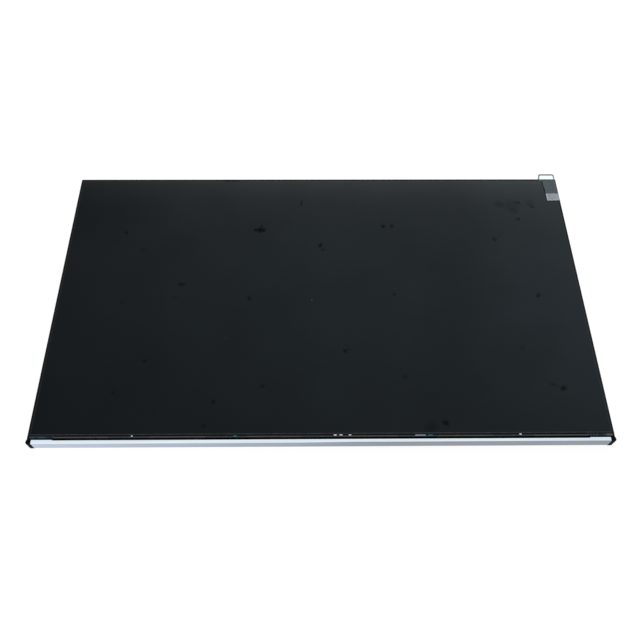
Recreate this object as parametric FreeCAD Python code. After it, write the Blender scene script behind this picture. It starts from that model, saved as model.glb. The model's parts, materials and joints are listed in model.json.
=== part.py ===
import FreeCAD, Part
import math
import os

Vector = FreeCAD.Vector

# A bare 23.8 inch display module lying on its back with the screen up, in millimetres.
# X runs to the display's right, Y to its top edge and Z out of the screen.
# The origin is the centre of the four rear mounting holes, level with their faces.

# Picture area, glass plates and films
ACTIVE_W = 527.04           # picture width
ACTIVE_H = 296.46           # picture height
BORDER = 3.4                # picture edge to glass edge, at both sides and the top
FOOT_BORDER = 4.0           # picture edge to the front glass's edge, at the foot
LEDGE_DEPTH = 2.0           # rear glass left bare in front of the front glass, at the foot
GLASS_T = 0.5               # each glass plate
POLARISER_T = 0.2           # each polariser
POLARISER_INSET = 0.8       # front polariser in from the front glass's edge
REAR_POLARISER_LAP = 0.5    # rear polariser past the picture area
FILM_T = 0.1                # protective film on the front polariser
SEAL_W = 0.7                # sealant bead on the ledge, along the front glass's edge
SEAL_H = 0.4                # sealant bead where it meets the front glass
PASTE_W = 1.6               # conductive paste pad on the ledge, along X
PASTE_D = 1.0
PASTE_H = 0.35

# Pull tab of the protective film, at the top right corner
TAB_T = 0.15
TAB_HEAD_W = 18.0
TAB_NECK_W = 14.4
TAB_OVERHANG = 7.2          # head past the frame's top edge
TAB_HEAD_LAP = 3.0          # head on the frame's side of that edge
TAB_NECK_L = 28.0
TAB_SETIN = 0.8             # tab in from the frame's right edge
TAB_CORNER_R = 2.5
TAB_TAPE_T = 0.1            # adhesive strip under the end of the neck
TAB_TAPE_L = 10.5

# Moulded middle frame
RIM_T = 1.2                 # outer wall
RIM_GAP = 0.4               # glass edge to outer wall
SHELF_T = 1.2               # shelf that carries the glass
SHELF_LAP = 0.7             # shelf's window past the picture area
TAPE_T = 0.4                # foam tape between shelf and glass
TAPE_LAP = 0.9              # tape's window past the picture area
TAPE_INSET = 0.3            # tape in from the glass's edge
SKIRT_T = 0.8               # wall under the shelf, at the foot
SKIRT_SETBACK = 0.5         # skirt behind the rear glass's foot edge
SKIRT_LIFT = 1.0            # skirt's lower edge above the back cover's floor
END_T = 3.6                 # end block at each foot corner, along X
END_EAR = 1.0               # end block's ear past the outer wall
EAR_SLOPE = 2.0             # length of the ear's slope, along Y
REVEAL = 0.4                # outer wall's lower edge above the back cover's floor
FRAME_CORNER_R = 0.8

# Backlight stack
REFLECTOR_T = 0.25
GUIDE_T = 3.5
DIFFUSER_T = 0.3
PRISM_T = 0.3
BRIGHTNESS_T = 0.4
SHEET_PLAY = 0.15           # free height over the top sheet
GUIDE_GAP = 0.5             # light guide to the back cover's walls, filled by pads
SHEET_INSET = 0.3           # each sheet in from the light guide's edge
PAD_L = 24.0                # rubber pads that hold the light guide
PAD_H = 2.0
LED_COUNT = 40
LED_W = 5.6
LED_H = 2.0
LED_T = 0.8
LED_GAP = 0.3               # lamp face to the light guide
LED_BOARD_T = 0.8
LED_BOARD_H = 3.2
LED_TAPE_T = 0.2
LED_TAPE_INSET = 0.4        # heat tape in from the lamp board's edges

# Pressed back cover
COVER_T = 0.8
COVER_GAP = 0.15            # back cover to the frame's walls
BEND_R = 0.3                # inside radius of every fold in sheet metal
CORNER_CUT = 3.0            # open corner where two folded walls would meet
DRAW_SLOPE = 1.0            # run of a pressed wall for each unit of depth
MOUNT_W = 400.0             # mounting holes, centre to centre along X
MOUNT_H = 160.0             # mounting holes, centre to centre along Y
MOUNT_R = 1.25              # tapping size for an M3 screw
MOUNT_FACE_R = 8.0          # flat face around each mounting hole
COLLAR_T = 0.7              # drawn collar around a tapped hole
COLLAR_H = 1.4
BEAD_W = 6.0                # flat of a stiffening bead
BEAD_DEPTH = 1.8
LOOP_INSET = 20.0           # outer edge of the bead loop in from the back cover's walls
LOOP_FOOT_GAP = 10.0        # outer edge of the bead loop to the foot bracket
LOOP_R = 14.0               # outer corner radius of the bead loop
CROSS_COUNT = 3             # upright beads inside the loop
CROSS_PITCH = 104.0
CROSS_CLEAR = 16.0          # upright bead's end to the loop
HOOK_W = 8.0                # hooks on the back cover's walls
HOOK_H = 1.2
HOOK_OUT = 0.9
HOOK_GAP = 0.4              # frame's window around each hook
SIDE_HOOKS = 4
TOP_HOOKS = 6

# Driver films, folded round the foot of the module
FILM_COUNT = 6
DRIVER_W = 50.0
DRIVER_T = 0.1
FOLD_R = 0.5                # inside radius of a film's folds
LEDGE_BOND = 1.2            # film on the rear glass's ledge
BOARD_BOND = 3.0            # film under the source board
CHIP_W = 24.0
CHIP_H = 1.6
CHIP_T = 0.5

# Source board behind the foot, with its parts on the rear side
BOARD_T = 0.8
BOARD_D = 19.0
BOARD_SETBACK = 2.2         # board's front edge behind the rear glass's foot edge
BOARD_END = 3.0             # board past the outermost driver film
INSULATOR_T = 0.2
BOARD_CLEAR = 0.3           # tallest part to the bracket's plate
INDUCTOR_H = 2.2            # tallest part
INDUCTOR_W = 5.0
TIMING_W = 10.0
TIMING_H = 1.2
POWER_W = 7.0
POWER_H = 0.9
CAPACITOR_L = 2.0
CAPACITOR_W = 1.2
CAPACITOR_H = 1.1
CAPACITOR_PITCH = 3.6

# Sockets on the source board, mouths toward the display's top
VIDEO_PIN_COUNT = 30
VIDEO_PITCH = 0.5
VIDEO_D = 4.6
VIDEO_H = 1.4
VIDEO_CHEEK = 2.6           # housing past the outermost contact
SHELL_T = 0.15
LAMP_PIN_COUNT = 6
LAMP_PITCH = 1.0
LAMP_D = 4.8
LAMP_H = 1.5
LAMP_CHEEK = 1.8
LAMP_PIN_W = 0.4
SOCKET_WALL = 0.35          # housing above and below a socket's mouth
SOCKET_BACK = 1.4           # housing behind a socket's mouth
SOCKET_OVERHANG = 0.4       # socket past the board's edge
CONTACT_W = 0.2
CONTACT_T = 0.12
PLUG_CLEAR = 2.5            # bracket cut away at each side of a socket

# Flexible tail of the lamp board
TAIL_W = 8.0
TAIL_T = 0.2
TAIL_SOLDER = 0.45          # tail on the lamp board
TAIL_REACH = 2.4            # tail inside its socket
TAIL_SLOT_CLEAR = 0.5
TAIL_SOCKET_H = 1.4
TAIL_SOCKET_D = 4.4
TAIL_SOCKET_CHEEK = 1.6
TAIL_SOCKET_FROM_EDGE = 4.0

# Folded foot bracket and its screws
BRACKET_T = 0.7
PLATE_LIFT = 0.7            # bracket's rear plate above the rear plane
FLANGE_DEPTH = 3.1          # top flange in front of the driver films
FLANGE_DROP = 0.3           # top flange below the ledge
FILM_CLEAR = 1.5            # driver film to the flange
SLOT_END_CLEAR = 1.2        # outermost film to the end of the flange's relief
END_STEP = 0.6              # flange deeper at both ends of the relief
BRACKET_GAP = 0.1           # bracket to the frame's end blocks
LIP_GAP = 0.2               # bracket's rear lip to the back cover
LIP_CLEAR = 0.8             # screw pedestal to the lip, and to the board
SCREW_R = 1.25
SCREW_PLAY = 0.15           # hole in the bracket around a screw
SCREW_FIT = 0.05            # screw in its tapped pedestal
SCREW_L = 2.8
HEAD_R = 2.2
HEAD_H = 0.6
PEDESTAL_W = 7.2            # square face of the pressed pedestal that takes a screw

# Positions along X
x_active = ACTIVE_W / 2
x_glass = x_active + BORDER
x_rim = x_glass + RIM_GAP
x_out = x_rim + RIM_T
x_cover = x_rim - COVER_GAP
x_guide = x_cover - COVER_T - GUIDE_GAP
x_bracket = x_out - END_T - BRACKET_GAP
film_pitch = ACTIVE_W / FILM_COUNT
film_xs = [(i - (FILM_COUNT - 1) / 2) * film_pitch for i in range(FILM_COUNT)]
gap_xs = [x + film_pitch / 2 for x in film_xs[:-1]]
x_films = film_xs[-1] + DRIVER_W / 2
x_slot = x_films + SLOT_END_CLEAR
x_mid_film = film_xs[FILM_COUNT // 2 - 1]
screw_xs = [film_xs[0], x_mid_film, film_xs[-1]]
x_board = x_films + BOARD_END
x_video = gap_xs[len(gap_xs) // 2]
x_lamp = gap_xs[len(gap_xs) // 2 + 1]
x_tail = gap_xs[-1]
x_timing = x_mid_film
x_power = film_xs[-2]

# Positions along Y, from the top edge to the foot
slot_gap = FOLD_R + DRIVER_T + FILM_CLEAR
top_margin = BORDER + RIM_GAP + RIM_T
foot_margin = FOOT_BORDER + LEDGE_DEPTH + slot_gap + FLANGE_DEPTH
y_top = (ACTIVE_H + top_margin + foot_margin) / 2
y_foot = -y_top
y_rim = y_top - RIM_T
y_glass = y_rim - RIM_GAP
y_active_top = y_top - top_margin
y_active_foot = y_foot + foot_margin
y_filter = y_active_foot - FOOT_BORDER
y_array = y_filter - LEDGE_DEPTH
y_slot = y_array - slot_gap
y_skirt = y_array + SKIRT_SETBACK
y_cover_foot = y_skirt + SKIRT_T + COVER_GAP
y_cover_top = y_rim - COVER_GAP
y_lamp_tape = y_cover_foot + COVER_T
y_lamp_board = y_lamp_tape + LED_TAPE_T
y_lamps = y_lamp_board + LED_BOARD_T
y_guide_foot = y_lamps + LED_T + LED_GAP
y_guide_top = y_cover_top - COVER_T - GUIDE_GAP
y_board_foot = y_array + BOARD_SETBACK
y_board_top = y_board_foot + BOARD_D
y_parts = (y_board_foot + BOARD_BOND + y_board_top - VIDEO_D) / 2

# Heights, from the rear plane to the screen
z_plate = PLATE_LIFT + BRACKET_T
z_floor = z_plate + BOARD_CLEAR + INDUCTOR_H + BOARD_T + INSULATOR_T
z_board_top = z_floor - INSULATOR_T
z_board = z_board_top - BOARD_T
z_tray = z_floor + COVER_T
z_guide = z_tray + REFLECTOR_T
z_diffuser = z_guide + GUIDE_T
z_prism = z_diffuser + DIFFUSER_T
z_brightness = z_prism + PRISM_T
z_shelf = z_brightness + BRIGHTNESS_T + SHEET_PLAY
z_tape = z_shelf + SHELF_T
z_array = z_tape + TAPE_T
z_ledge = z_array + GLASS_T
z_filter_top = z_ledge + GLASS_T
z_film = z_filter_top + POLARISER_T
z_face = z_film + FILM_T
z_flange = z_ledge - FLANGE_DROP
z_lamp_mid = z_guide + GUIDE_T / 2
z_hook = (z_tray + z_shelf) / 2

# Screw pedestals stand between the source board and the bracket's rear lip
pedestal_depth = z_floor - z_plate
pedestal_spread = pedestal_depth * DRAW_SLOPE
y_screw = y_board_top + LIP_CLEAR + PEDESTAL_W / 2 + pedestal_spread
y_lip = y_screw + PEDESTAL_W / 2 + pedestal_spread + LIP_CLEAR
y_plate = y_lip + BRACKET_T
half_video = VIDEO_PITCH * (VIDEO_PIN_COUNT - 1) / 2 + VIDEO_CHEEK
half_lamp = LAMP_PITCH * (LAMP_PIN_COUNT - 1) / 2 + LAMP_CHEEK
half_tail_socket = TAIL_W / 2 + TAIL_SOCKET_CHEEK
y_tail_socket = y_board_foot + TAIL_SOCKET_FROM_EDGE
z_tail = z_board - TAIL_SOCKET_H / 2


def block(x0, x1, y0, y1, z0, z1):
    """Box between two opposite corners."""
    return Part.makeBox(x1 - x0, y1 - y0, z1 - z0, Vector(x0, y0, z0))


def slab(half_x, y0, y1, z0, z1):
    """Box centred on X."""
    return block(-half_x, half_x, y0, y1, z0, z1)


def rod(x, y, r, z0, z1):
    """Upright cylinder."""
    return Part.makeCylinder(r, z1 - z0, Vector(x, y, z0))


def both_sides(shape):
    """A right-hand shape and its mirror image at the left."""
    return [shape, shape.mirror(Vector(0, 0, 0), Vector(1, 0, 0))]


def rounded_wire(x0, x1, y0, y1, r, z):
    """Level rectangle with rounded corners, as a closed wire."""
    edges = []
    corners = ((x1 - r, y0 + r, -90), (x1 - r, y1 - r, 0), (x0 + r, y1 - r, 90), (x0 + r, y0 + r, 180))
    last = None
    first = None
    for cx, cy, start in corners:
        angles = [math.radians(start + turn) for turn in (0, 45, 90)]
        arc = [Vector(cx + r * math.cos(a), cy + r * math.sin(a), z) for a in angles]
        if last is None:
            first = arc[0]
        else:
            edges.append(Part.LineSegment(last, arc[0]).toShape())
        edges.append(Part.Arc(*arc).toShape())
        last = arc[2]
    edges.append(Part.LineSegment(last, first).toShape())
    return Part.Wire(edges)


def rounded_plate(x0, x1, y0, y1, r, z0, z1):
    """Level plate with rounded corners."""
    return Part.Face(rounded_wire(x0, x1, y0, y1, r, z0)).extrude(Vector(0, 0, z1 - z0))


def folded_sheet(path, thickness, inside_r, x0, x1):
    """Sheet from x0 to x1, folded along a Y-Z path that gives its middle line."""
    points = [Vector(x0, y, z) for y, z in path]
    heads = [(b - a).normalize() for a, b in zip(points, points[1:])]
    lefts = [Vector(0, -head.z, head.y) for head in heads]
    mid_r = inside_r + thickness / 2
    edges = []
    ends = []
    for offset in (thickness / 2, -thickness / 2):
        last = points[0] + lefts[0] * offset
        ends.append(last)
        for i in range(1, len(points) - 1):
            trim = mid_r * math.tan(heads[i - 1].getAngle(heads[i]) / 2)
            turn = math.copysign(1, heads[i - 1].cross(heads[i]).x)
            start = points[i] - heads[i - 1] * trim
            centre = start + lefts[i - 1] * (turn * mid_r)
            outward = (points[i] - centre).normalize()
            arc_start = start + lefts[i - 1] * offset
            arc_mid = centre + outward * (mid_r - turn * offset)
            arc_end = points[i] + heads[i] * trim + lefts[i] * offset
            edges.append(Part.LineSegment(last, arc_start).toShape())
            edges.append(Part.Arc(arc_start, arc_mid, arc_end).toShape())
            last = arc_end
        finish = points[-1] + lefts[-1] * offset
        edges.append(Part.LineSegment(last, finish).toShape())
        ends.append(finish)
    edges.append(Part.LineSegment(ends[0], ends[2]).toShape())
    edges.append(Part.LineSegment(ends[1], ends[3]).toShape())
    wire = Part.Wire(Part.__sortEdges__(edges))
    return Part.Face(wire).extrude(Vector(x1 - x0, 0, 0))


def window(lap, z0, z1):
    """Box over the picture area, larger by the lap on every side."""
    return slab(x_active + lap, y_active_foot - lap, y_active_top + lap, z0, z1)


def front_sheet(z0, z1):
    """Sheet with the front polariser's outline."""
    inset = POLARISER_INSET
    return slab(x_glass - inset, y_filter + inset, y_glass - inset, z0, z1)


def backlight_sheet(z0, z1):
    """Sheet lying under or over the light guide, a little smaller than it."""
    inset = SHEET_INSET
    return slab(x_guide - inset, y_guide_foot + inset, y_guide_top - inset, z0, z1)


def cell_tape():
    """Foam tape ring between the frame's shelf and the rear glass."""
    outer = slab(x_glass - TAPE_INSET, y_array + SKIRT_SETBACK, y_glass - TAPE_INSET, z_tape, z_array)
    return outer.cut(window(TAPE_LAP, z_tape, z_array))


def ledge_seal():
    """Sealant bead with a sloped top, along the front glass's foot edge."""
    profile = [
        Vector(-x_films, y_filter, z_ledge),
        Vector(-x_films, y_filter - SEAL_W, z_ledge),
        Vector(-x_films, y_filter, z_ledge + SEAL_H),
    ]
    face = Part.Face(Part.makePolygon(profile + profile[:1]))
    return face.extrude(Vector(2 * x_films, 0, 0))


def paste_pads():
    """One pad of conductive paste on the ledge in each gap between driver films."""
    y0 = (y_filter - SEAL_W + y_array - PASTE_D) / 2
    pads = []
    for x in gap_xs:
        edges = (x - PASTE_W / 2, x + PASTE_W / 2, y0, y0 + PASTE_D)
        pads.append(block(*edges, z_ledge, z_ledge + PASTE_H))
    return Part.makeCompound(pads)


def pull_tab():
    """Clear tab: a rounded head past the top edge and a narrower neck on the film."""
    z0 = z_face + TAB_TAPE_T
    x1 = x_out - TAB_SETIN
    y0 = y_top - TAB_HEAD_LAP
    head = rounded_plate(x1 - TAB_HEAD_W, x1, y0, y_top + TAB_OVERHANG, TAB_CORNER_R, z0, z0 + TAB_T)
    neck = block(x1 - TAB_NECK_W, x1, y0 - TAB_NECK_L, y0 + TAB_CORNER_R, z0, z0 + TAB_T)
    return head.fuse(neck).removeSplitter()


def pull_tab_tape():
    """Adhesive strip that joins the neck's end to the protective film."""
    x1 = x_out - TAB_SETIN
    y0 = y_top - TAB_HEAD_LAP - TAB_NECK_L
    return block(x1 - TAB_NECK_W, x1, y0, y0 + TAB_TAPE_L, z_face, z_face + TAB_TAPE_T)


def hook_places(count, low, high):
    """Centres of evenly spread hooks along a wall."""
    step = (high - low) / count
    return [low + step * (i + 0.5) for i in range(count)]


def wall_hooks(out, grow):
    """Hooks on the back cover's walls, or with grow the frame's windows around them."""
    half = HOOK_W / 2 + grow
    z0 = z_hook - HOOK_H / 2 - grow
    z1 = z_hook + HOOK_H / 2 + grow
    shapes = []
    for y in hook_places(SIDE_HOOKS, y_cover_foot, y_cover_top):
        shapes += both_sides(block(x_cover, x_cover + out, y - half, y + half, z0, z1))
    for x in hook_places(TOP_HOOKS, -x_cover, x_cover):
        shapes.append(block(x - half, x + half, y_cover_top, y_cover_top + out, z0, z1))
    return shapes


def middle_frame():
    """Moulded frame: outer wall on three sides, shelf for the glass, foot skirt and end blocks."""
    wall = slab(x_out, y_foot, y_top, z_floor + REVEAL, z_filter_top)
    wall = wall.cut(slab(x_rim, y_foot, y_rim, z_floor, z_filter_top))
    y_clear = y_array - RIM_GAP
    wall = wall.cut(slab(x_out, y_foot, y_clear, z_flange, z_filter_top))
    shelf = slab(x_rim, y_skirt, y_rim, z_shelf, z_tape).cut(window(SHELF_LAP, z_shelf, z_tape))
    skirt = slab(x_rim, y_skirt, y_skirt + SKIRT_T, z_floor + SKIRT_LIFT, z_shelf)
    ends = both_sides(block(x_out - END_T, x_out, y_foot, y_skirt, PLATE_LIFT, z_tape))
    ends += both_sides(block(x_out - END_T, x_out, y_foot, y_clear, z_tape, z_flange))
    frame = wall.fuse([shelf, skirt] + ends)
    frame = frame.cut(wall_hooks(2 * RIM_T, HOOK_GAP))
    outline = rounded_plate(-x_out, x_out, y_foot, y_top, FRAME_CORNER_R, 0, z_face)
    return frame.common(outline).fuse(both_sides(end_ear(y_clear))).removeSplitter()


def end_ear(y_clear):
    """Ear that widens an end block toward the foot, with its front corner cut off."""
    x1 = x_out + END_EAR
    corners = [
        (x_rim, y_foot), (x1 - FRAME_CORNER_R, y_foot), (x1, y_foot + FRAME_CORNER_R),
        (x1, y_clear - EAR_SLOPE), (x_out, y_clear), (x_rim, y_clear),
    ]
    points = [Vector(x, y, PLATE_LIFT) for x, y in corners]
    face = Part.Face(Part.makePolygon(points + points[:1]))
    return face.extrude(Vector(0, 0, z_flange - PLATE_LIFT))


def tray():
    """Folded tray with open corners, before any pressing."""
    z_mid = z_floor + COVER_T / 2
    half = COVER_T / 2
    foot = y_cover_foot + half
    top = y_cover_top - half
    channel = [(foot, z_shelf), (foot, z_mid), (top, z_mid), (top, z_shelf)]
    body = folded_sheet(channel, COVER_T, BEND_R, CORNER_CUT - x_cover, x_cover - CORNER_CUT)
    flap = [(x_cover - 2 * CORNER_CUT, z_mid), (x_cover - half, z_mid), (x_cover - half, z_shelf)]
    side = folded_sheet(flap, COVER_T, BEND_R, CORNER_CUT - y_cover_top, -y_cover_foot - CORNER_CUT)
    side.rotate(Vector(0, 0, 0), Vector(0, 0, 1), -90)
    return body.fuse(both_sides(side))


def pressed_form(x0, x1, y0, y1, r, depth, spread):
    """Flat-topped form under the tray's floor, spreading as it meets the floor."""
    at_floor = rounded_wire(x0 - spread, x1 + spread, y0 - spread, y1 + spread, r + spread, z_floor)
    at_depth = rounded_wire(x0, x1, y0, y1, r, z_floor - depth)
    return Part.makeLoft([at_floor, at_depth], True, True)


def level_wire(x0, x1, y0, y1, z):
    """Level rectangle with square corners, as a closed wire."""
    corners = [Vector(x0, y0, z), Vector(x1, y0, z), Vector(x1, y1, z), Vector(x0, y1, z)]
    return Part.makePolygon(corners + corners[:1])


def tapered_form(x0, x1, y0, y1, depth, spread):
    """Straight-sided form under the tray's floor, tapered on every side."""
    at_floor = level_wire(x0 - spread, x1 + spread, y0 - spread, y1 + spread, z_floor)
    at_depth = level_wire(x0, x1, y0, y1, z_floor - depth)
    return Part.makeLoft([at_floor, at_depth], True, True)


def bead_forms():
    """A bead loop around the back cover and upright beads inside it."""
    spread = BEAD_DEPTH * DRAW_SLOPE
    x1 = x_cover - LOOP_INSET
    y0 = y_plate + LOOP_FOOT_GAP
    y1 = y_cover_top - LOOP_INSET
    inner = (BEAD_W - x1, x1 - BEAD_W, y0 + BEAD_W, y1 - BEAD_W)
    outer_form = pressed_form(-x1, x1, y0, y1, LOOP_R, BEAD_DEPTH, spread)
    inner_form = pressed_form(*inner, LOOP_R - BEAD_W, BEAD_DEPTH, -spread)
    forms = [outer_form.cut(inner_form)]
    clear = BEAD_W + CROSS_CLEAR
    for i in range(CROSS_COUNT):
        x = (i - (CROSS_COUNT - 1) / 2) * CROSS_PITCH
        edges = (x - BEAD_W / 2, x + BEAD_W / 2, y0 + clear, y1 - clear)
        forms.append(tapered_form(*edges, BEAD_DEPTH, spread))
    return forms


def cone_form(x, y, face_r, depth):
    """Round pressed boss under the tray's floor."""
    base_r = face_r + depth * DRAW_SLOPE
    return Part.makeCone(base_r, face_r, depth, Vector(x, y, z_floor), Vector(0, 0, -1))


def pedestal_form(x):
    """Square pedestal under the tray's floor that meets the bracket's plate."""
    half = PEDESTAL_W / 2
    edges = (x - half, x + half, y_screw - half, y_screw + half)
    return tapered_form(*edges, pedestal_depth, pedestal_spread)


def mount_places():
    """Centres of the mounting holes."""
    return [(x, y) for x in (-MOUNT_W / 2, MOUNT_W / 2) for y in (-MOUNT_H / 2, MOUNT_H / 2)]


def tail_slot(z0, z1):
    """Opening for the lamp board's tail."""
    clear = TAIL_SLOT_CLEAR
    half = TAIL_W / 2 + clear
    return block(x_tail - half, x_tail + half, y_lamps - clear, y_lamps + TAIL_T + clear, z0, z1)


def back_cover():
    """Folded tray with pressed bosses, pedestals and beads, tapped collars and hooks."""
    forms = bead_forms()
    forms += [cone_form(x, y, MOUNT_FACE_R, z_floor) for x, y in mount_places()]
    forms += [pedestal_form(x) for x in screw_xs]
    cover = tray().fuse(forms + wall_hooks(HOOK_OUT, 0))
    cover = cover.cut([form.translated(Vector(0, 0, COVER_T)) for form in forms])
    collars = [rod(x, y, MOUNT_R + COLLAR_T, 0, COVER_T + COLLAR_H) for x, y in mount_places()]
    holes = [rod(x, y, MOUNT_R, 0, COVER_T + COLLAR_H) for x, y in mount_places()]
    holes += [rod(x, y_screw, SCREW_R, z_plate, z_floor) for x in screw_xs]
    cover = cover.fuse(collars).cut(holes + [tail_slot(z_floor, z_tray)])
    return cover.removeSplitter()


def lamps():
    """Row of side-lit lamps along the light guide's foot edge."""
    step = 2 * (x_guide - LED_W) / (LED_COUNT - 1)
    z0 = z_lamp_mid - LED_H / 2
    solids = []
    for i in range(LED_COUNT):
        x0 = (i - (LED_COUNT - 1) / 2) * step - LED_W / 2
        solids.append(block(x0, x0 + LED_W, y_lamps, y_lamps + LED_T, z0, z0 + LED_H))
    return Part.makeCompound(solids)


def lamp_strip(y0, y1, inset):
    """Long strip along the foot wall, behind the lamps."""
    half_h = LED_BOARD_H / 2 - inset
    return slab(x_guide - inset, y0, y1, z_lamp_mid - half_h, z_lamp_mid + half_h)


def lamp_tail():
    """Flexible tail from the lamp board through the back cover to its socket."""
    y_mid = y_lamps + TAIL_T / 2
    z_start = z_lamp_mid - LED_BOARD_H / 2 + TAIL_SOLDER
    path = [(y_mid, z_start), (y_mid, z_tail), (y_tail_socket + TAIL_REACH, z_tail)]
    return folded_sheet(path, TAIL_T, FOLD_R, x_tail - TAIL_W / 2, x_tail + TAIL_W / 2)


def guide_pads():
    """Rubber pads between the light guide and the back cover's walls."""
    z0 = z_lamp_mid - PAD_H / 2
    z1 = z_lamp_mid + PAD_H / 2
    half = PAD_L / 2
    pads = both_sides(block(x_guide, x_guide + GUIDE_GAP, -half, half, z0, z1))
    x_pad = x_active / 2
    top = block(x_pad - half, x_pad + half, y_guide_top, y_guide_top + GUIDE_GAP, z0, z1)
    return Part.makeCompound(pads + both_sides(top))


def driver_film(x):
    """Film bonded to the ledge, folded down the foot and back under the source board."""
    half = DRIVER_T / 2
    y_down = y_array - FOLD_R - half
    path = [
        (y_array + LEDGE_BOND, z_ledge + half),
        (y_down, z_ledge + half),
        (y_down, z_board - half),
        (y_board_foot + BOARD_BOND, z_board - half),
    ]
    return folded_sheet(path, DRIVER_T, FOLD_R, x - DRIVER_W / 2, x + DRIVER_W / 2)


def driver_chip(x):
    """Driver chip on the inner side of a film."""
    y0 = y_array - FOLD_R
    z_mid = (z_board + z_ledge) / 2
    half = CHIP_W / 2
    return block(x - half, x + half, y0, y0 + CHIP_T, z_mid - CHIP_H / 2, z_mid + CHIP_H / 2)


def board_sheet(z0, z1):
    """Source board's outline, notched where the lamp board's tail passes."""
    y_notch = y_lamps + TAIL_T + 2 * TAIL_SLOT_CLEAR
    half = TAIL_W / 2 + 2 * TAIL_SLOT_CLEAR
    notch = block(x_tail - half, x_tail + half, y_board_foot, y_notch, z0, z1)
    return slab(x_board, y_board_foot, y_board_top, z0, z1).cut(notch)


def board_part(x, y, length, width, height):
    """Part standing on the rear side of the source board."""
    return block(x - length / 2, x + length / 2, y - width / 2, y + width / 2, z_board - height, z_board)


def inductors():
    """Two power inductors beside the power chip."""
    offset = POWER_W / 2 + INDUCTOR_W
    places = (x_power - offset, x_power + offset)
    return Part.makeCompound([board_part(x, y_parts, INDUCTOR_W, INDUCTOR_W, INDUCTOR_H) for x in places])


def capacitors():
    """Rows of capacitors at both sides of the timing chip and outside the inductors."""
    solids = []
    for x_chip, offset in ((x_timing, TIMING_W), (x_power, POWER_W + 2 * INDUCTOR_W)):
        for side in (-1, 1):
            for row in (-1, 0, 1):
                x = x_chip + side * offset
                y = y_parts + row * CAPACITOR_PITCH
                solids.append(board_part(x, y, CAPACITOR_L, CAPACITOR_W, CAPACITOR_H))
    return Part.makeCompound(solids)


def socket_mouth(x, half, depth, height):
    """Space inside a socket, open toward the display's top."""
    y1 = y_board_top + SOCKET_OVERHANG
    z0 = z_board - height + SOCKET_WALL
    return block(x - half, x + half, y1 - depth + SOCKET_BACK, y1, z0, z_board - SOCKET_WALL)


def socket_block(x, half, depth, height):
    """Outside of a socket on the rear side of the board."""
    y1 = y_board_top + SOCKET_OVERHANG
    return block(x - half, x + half, y1 - depth, y1, z_board - height, z_board)


def video_socket_body():
    """Housing of the flat video socket."""
    half = half_video - SHELL_T
    body = socket_block(x_video, half, VIDEO_D, VIDEO_H - SHELL_T)
    return body.cut(socket_mouth(x_video, half - VIDEO_CHEEK / 2, VIDEO_D, VIDEO_H - SHELL_T))


def video_socket_shell():
    """Steel shell around the video socket's rear side and both ends."""
    shell = socket_block(x_video, half_video, VIDEO_D, VIDEO_H)
    return shell.cut(socket_block(x_video, half_video - SHELL_T, VIDEO_D, VIDEO_H - SHELL_T))


def socket_contacts(x_mid, count, pitch, width, depth):
    """Row of contacts on the board side of a socket's mouth."""
    y1 = y_board_top + SOCKET_OVERHANG
    z1 = z_board - SOCKET_WALL
    solids = []
    for i in range(count):
        x = x_mid + (i - (count - 1) / 2) * pitch
        spread = (x - width / 2, x + width / 2)
        solids.append(block(*spread, y1 - depth + SOCKET_BACK, y1 - SOCKET_BACK / 2, z1 - CONTACT_T, z1))
    return Part.makeCompound(solids)


def lamp_socket_body():
    """Housing of the lamp supply socket."""
    body = socket_block(x_lamp, half_lamp, LAMP_D, LAMP_H)
    return body.cut(socket_mouth(x_lamp, half_lamp - LAMP_CHEEK / 2, LAMP_D, LAMP_H))


def tail_socket():
    """Socket that clamps the end of the lamp board's tail."""
    half = half_tail_socket
    y0 = y_tail_socket
    z0 = z_board - TAIL_SOCKET_H
    body = block(x_tail - half, x_tail + half, y0, y0 + TAIL_SOCKET_D, z0, z_board)
    slot_z = z_tail - TAIL_T / 2
    slot_x = x_tail - TAIL_W / 2
    return body.cut(block(slot_x, slot_x + TAIL_W, y0, y0 + TAIL_REACH, slot_z, slot_z + TAIL_T))


def socket_notch(x, half, depth):
    """Cut in the bracket's plate and lip that leaves a socket free for its plug."""
    reach = half + PLUG_CLEAR
    y0 = y_board_top + SOCKET_OVERHANG - depth - PLUG_CLEAR / 2
    return block(x - reach, x + reach, y0, y_plate, PLATE_LIFT, z_floor)


def end_flap():
    """Flap folded up from the bracket's plate to close its right-hand end."""
    x_flap = x_bracket - BRACKET_T / 2
    z_mid = PLATE_LIFT + BRACKET_T / 2
    path = [(x_bracket - CORNER_CUT, z_mid), (x_flap, z_mid), (x_flap, z_floor - LIP_GAP)]
    flap = folded_sheet(path, BRACKET_T, BEND_R, CORNER_CUT - y_lip, -y_board_foot)
    flap.rotate(Vector(0, 0, 0), Vector(0, 0, 1), -90)
    return flap


def end_flap_room():
    """Edge of the bracket's plate that the fold of the end flap takes."""
    x0 = x_bracket - CORNER_CUT
    return block(x0, x_bracket, y_board_foot, y_lip - CORNER_CUT, PLATE_LIFT, z_plate)


def foot_bracket():
    """Folded bar: relieved top flange, front wall, rear plate over the board, lip and end flaps."""
    half = BRACKET_T / 2
    y_wall = y_foot + half
    z_mid = PLATE_LIFT + half
    path = [
        (y_slot + END_STEP, z_flange - half),
        (y_wall, z_flange - half),
        (y_wall, z_mid),
        (y_lip + half, z_mid),
        (y_lip + half, z_floor - LIP_GAP),
    ]
    bar = folded_sheet(path, BRACKET_T, BEND_R, -x_bracket, x_bracket)
    cuts = [slab(x_slot, y_slot, y_slot + END_STEP, z_flange - BRACKET_T, z_flange)]
    cuts += [rod(x, y_screw, SCREW_R + SCREW_PLAY, PLATE_LIFT, z_plate) for x in screw_xs]
    cuts += [socket_notch(x_video, half_video, VIDEO_D), socket_notch(x_lamp, half_lamp, LAMP_D)]
    bar = bar.cut(cuts + both_sides(end_flap_room()))
    return bar.fuse(both_sides(end_flap())).removeSplitter()


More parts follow.
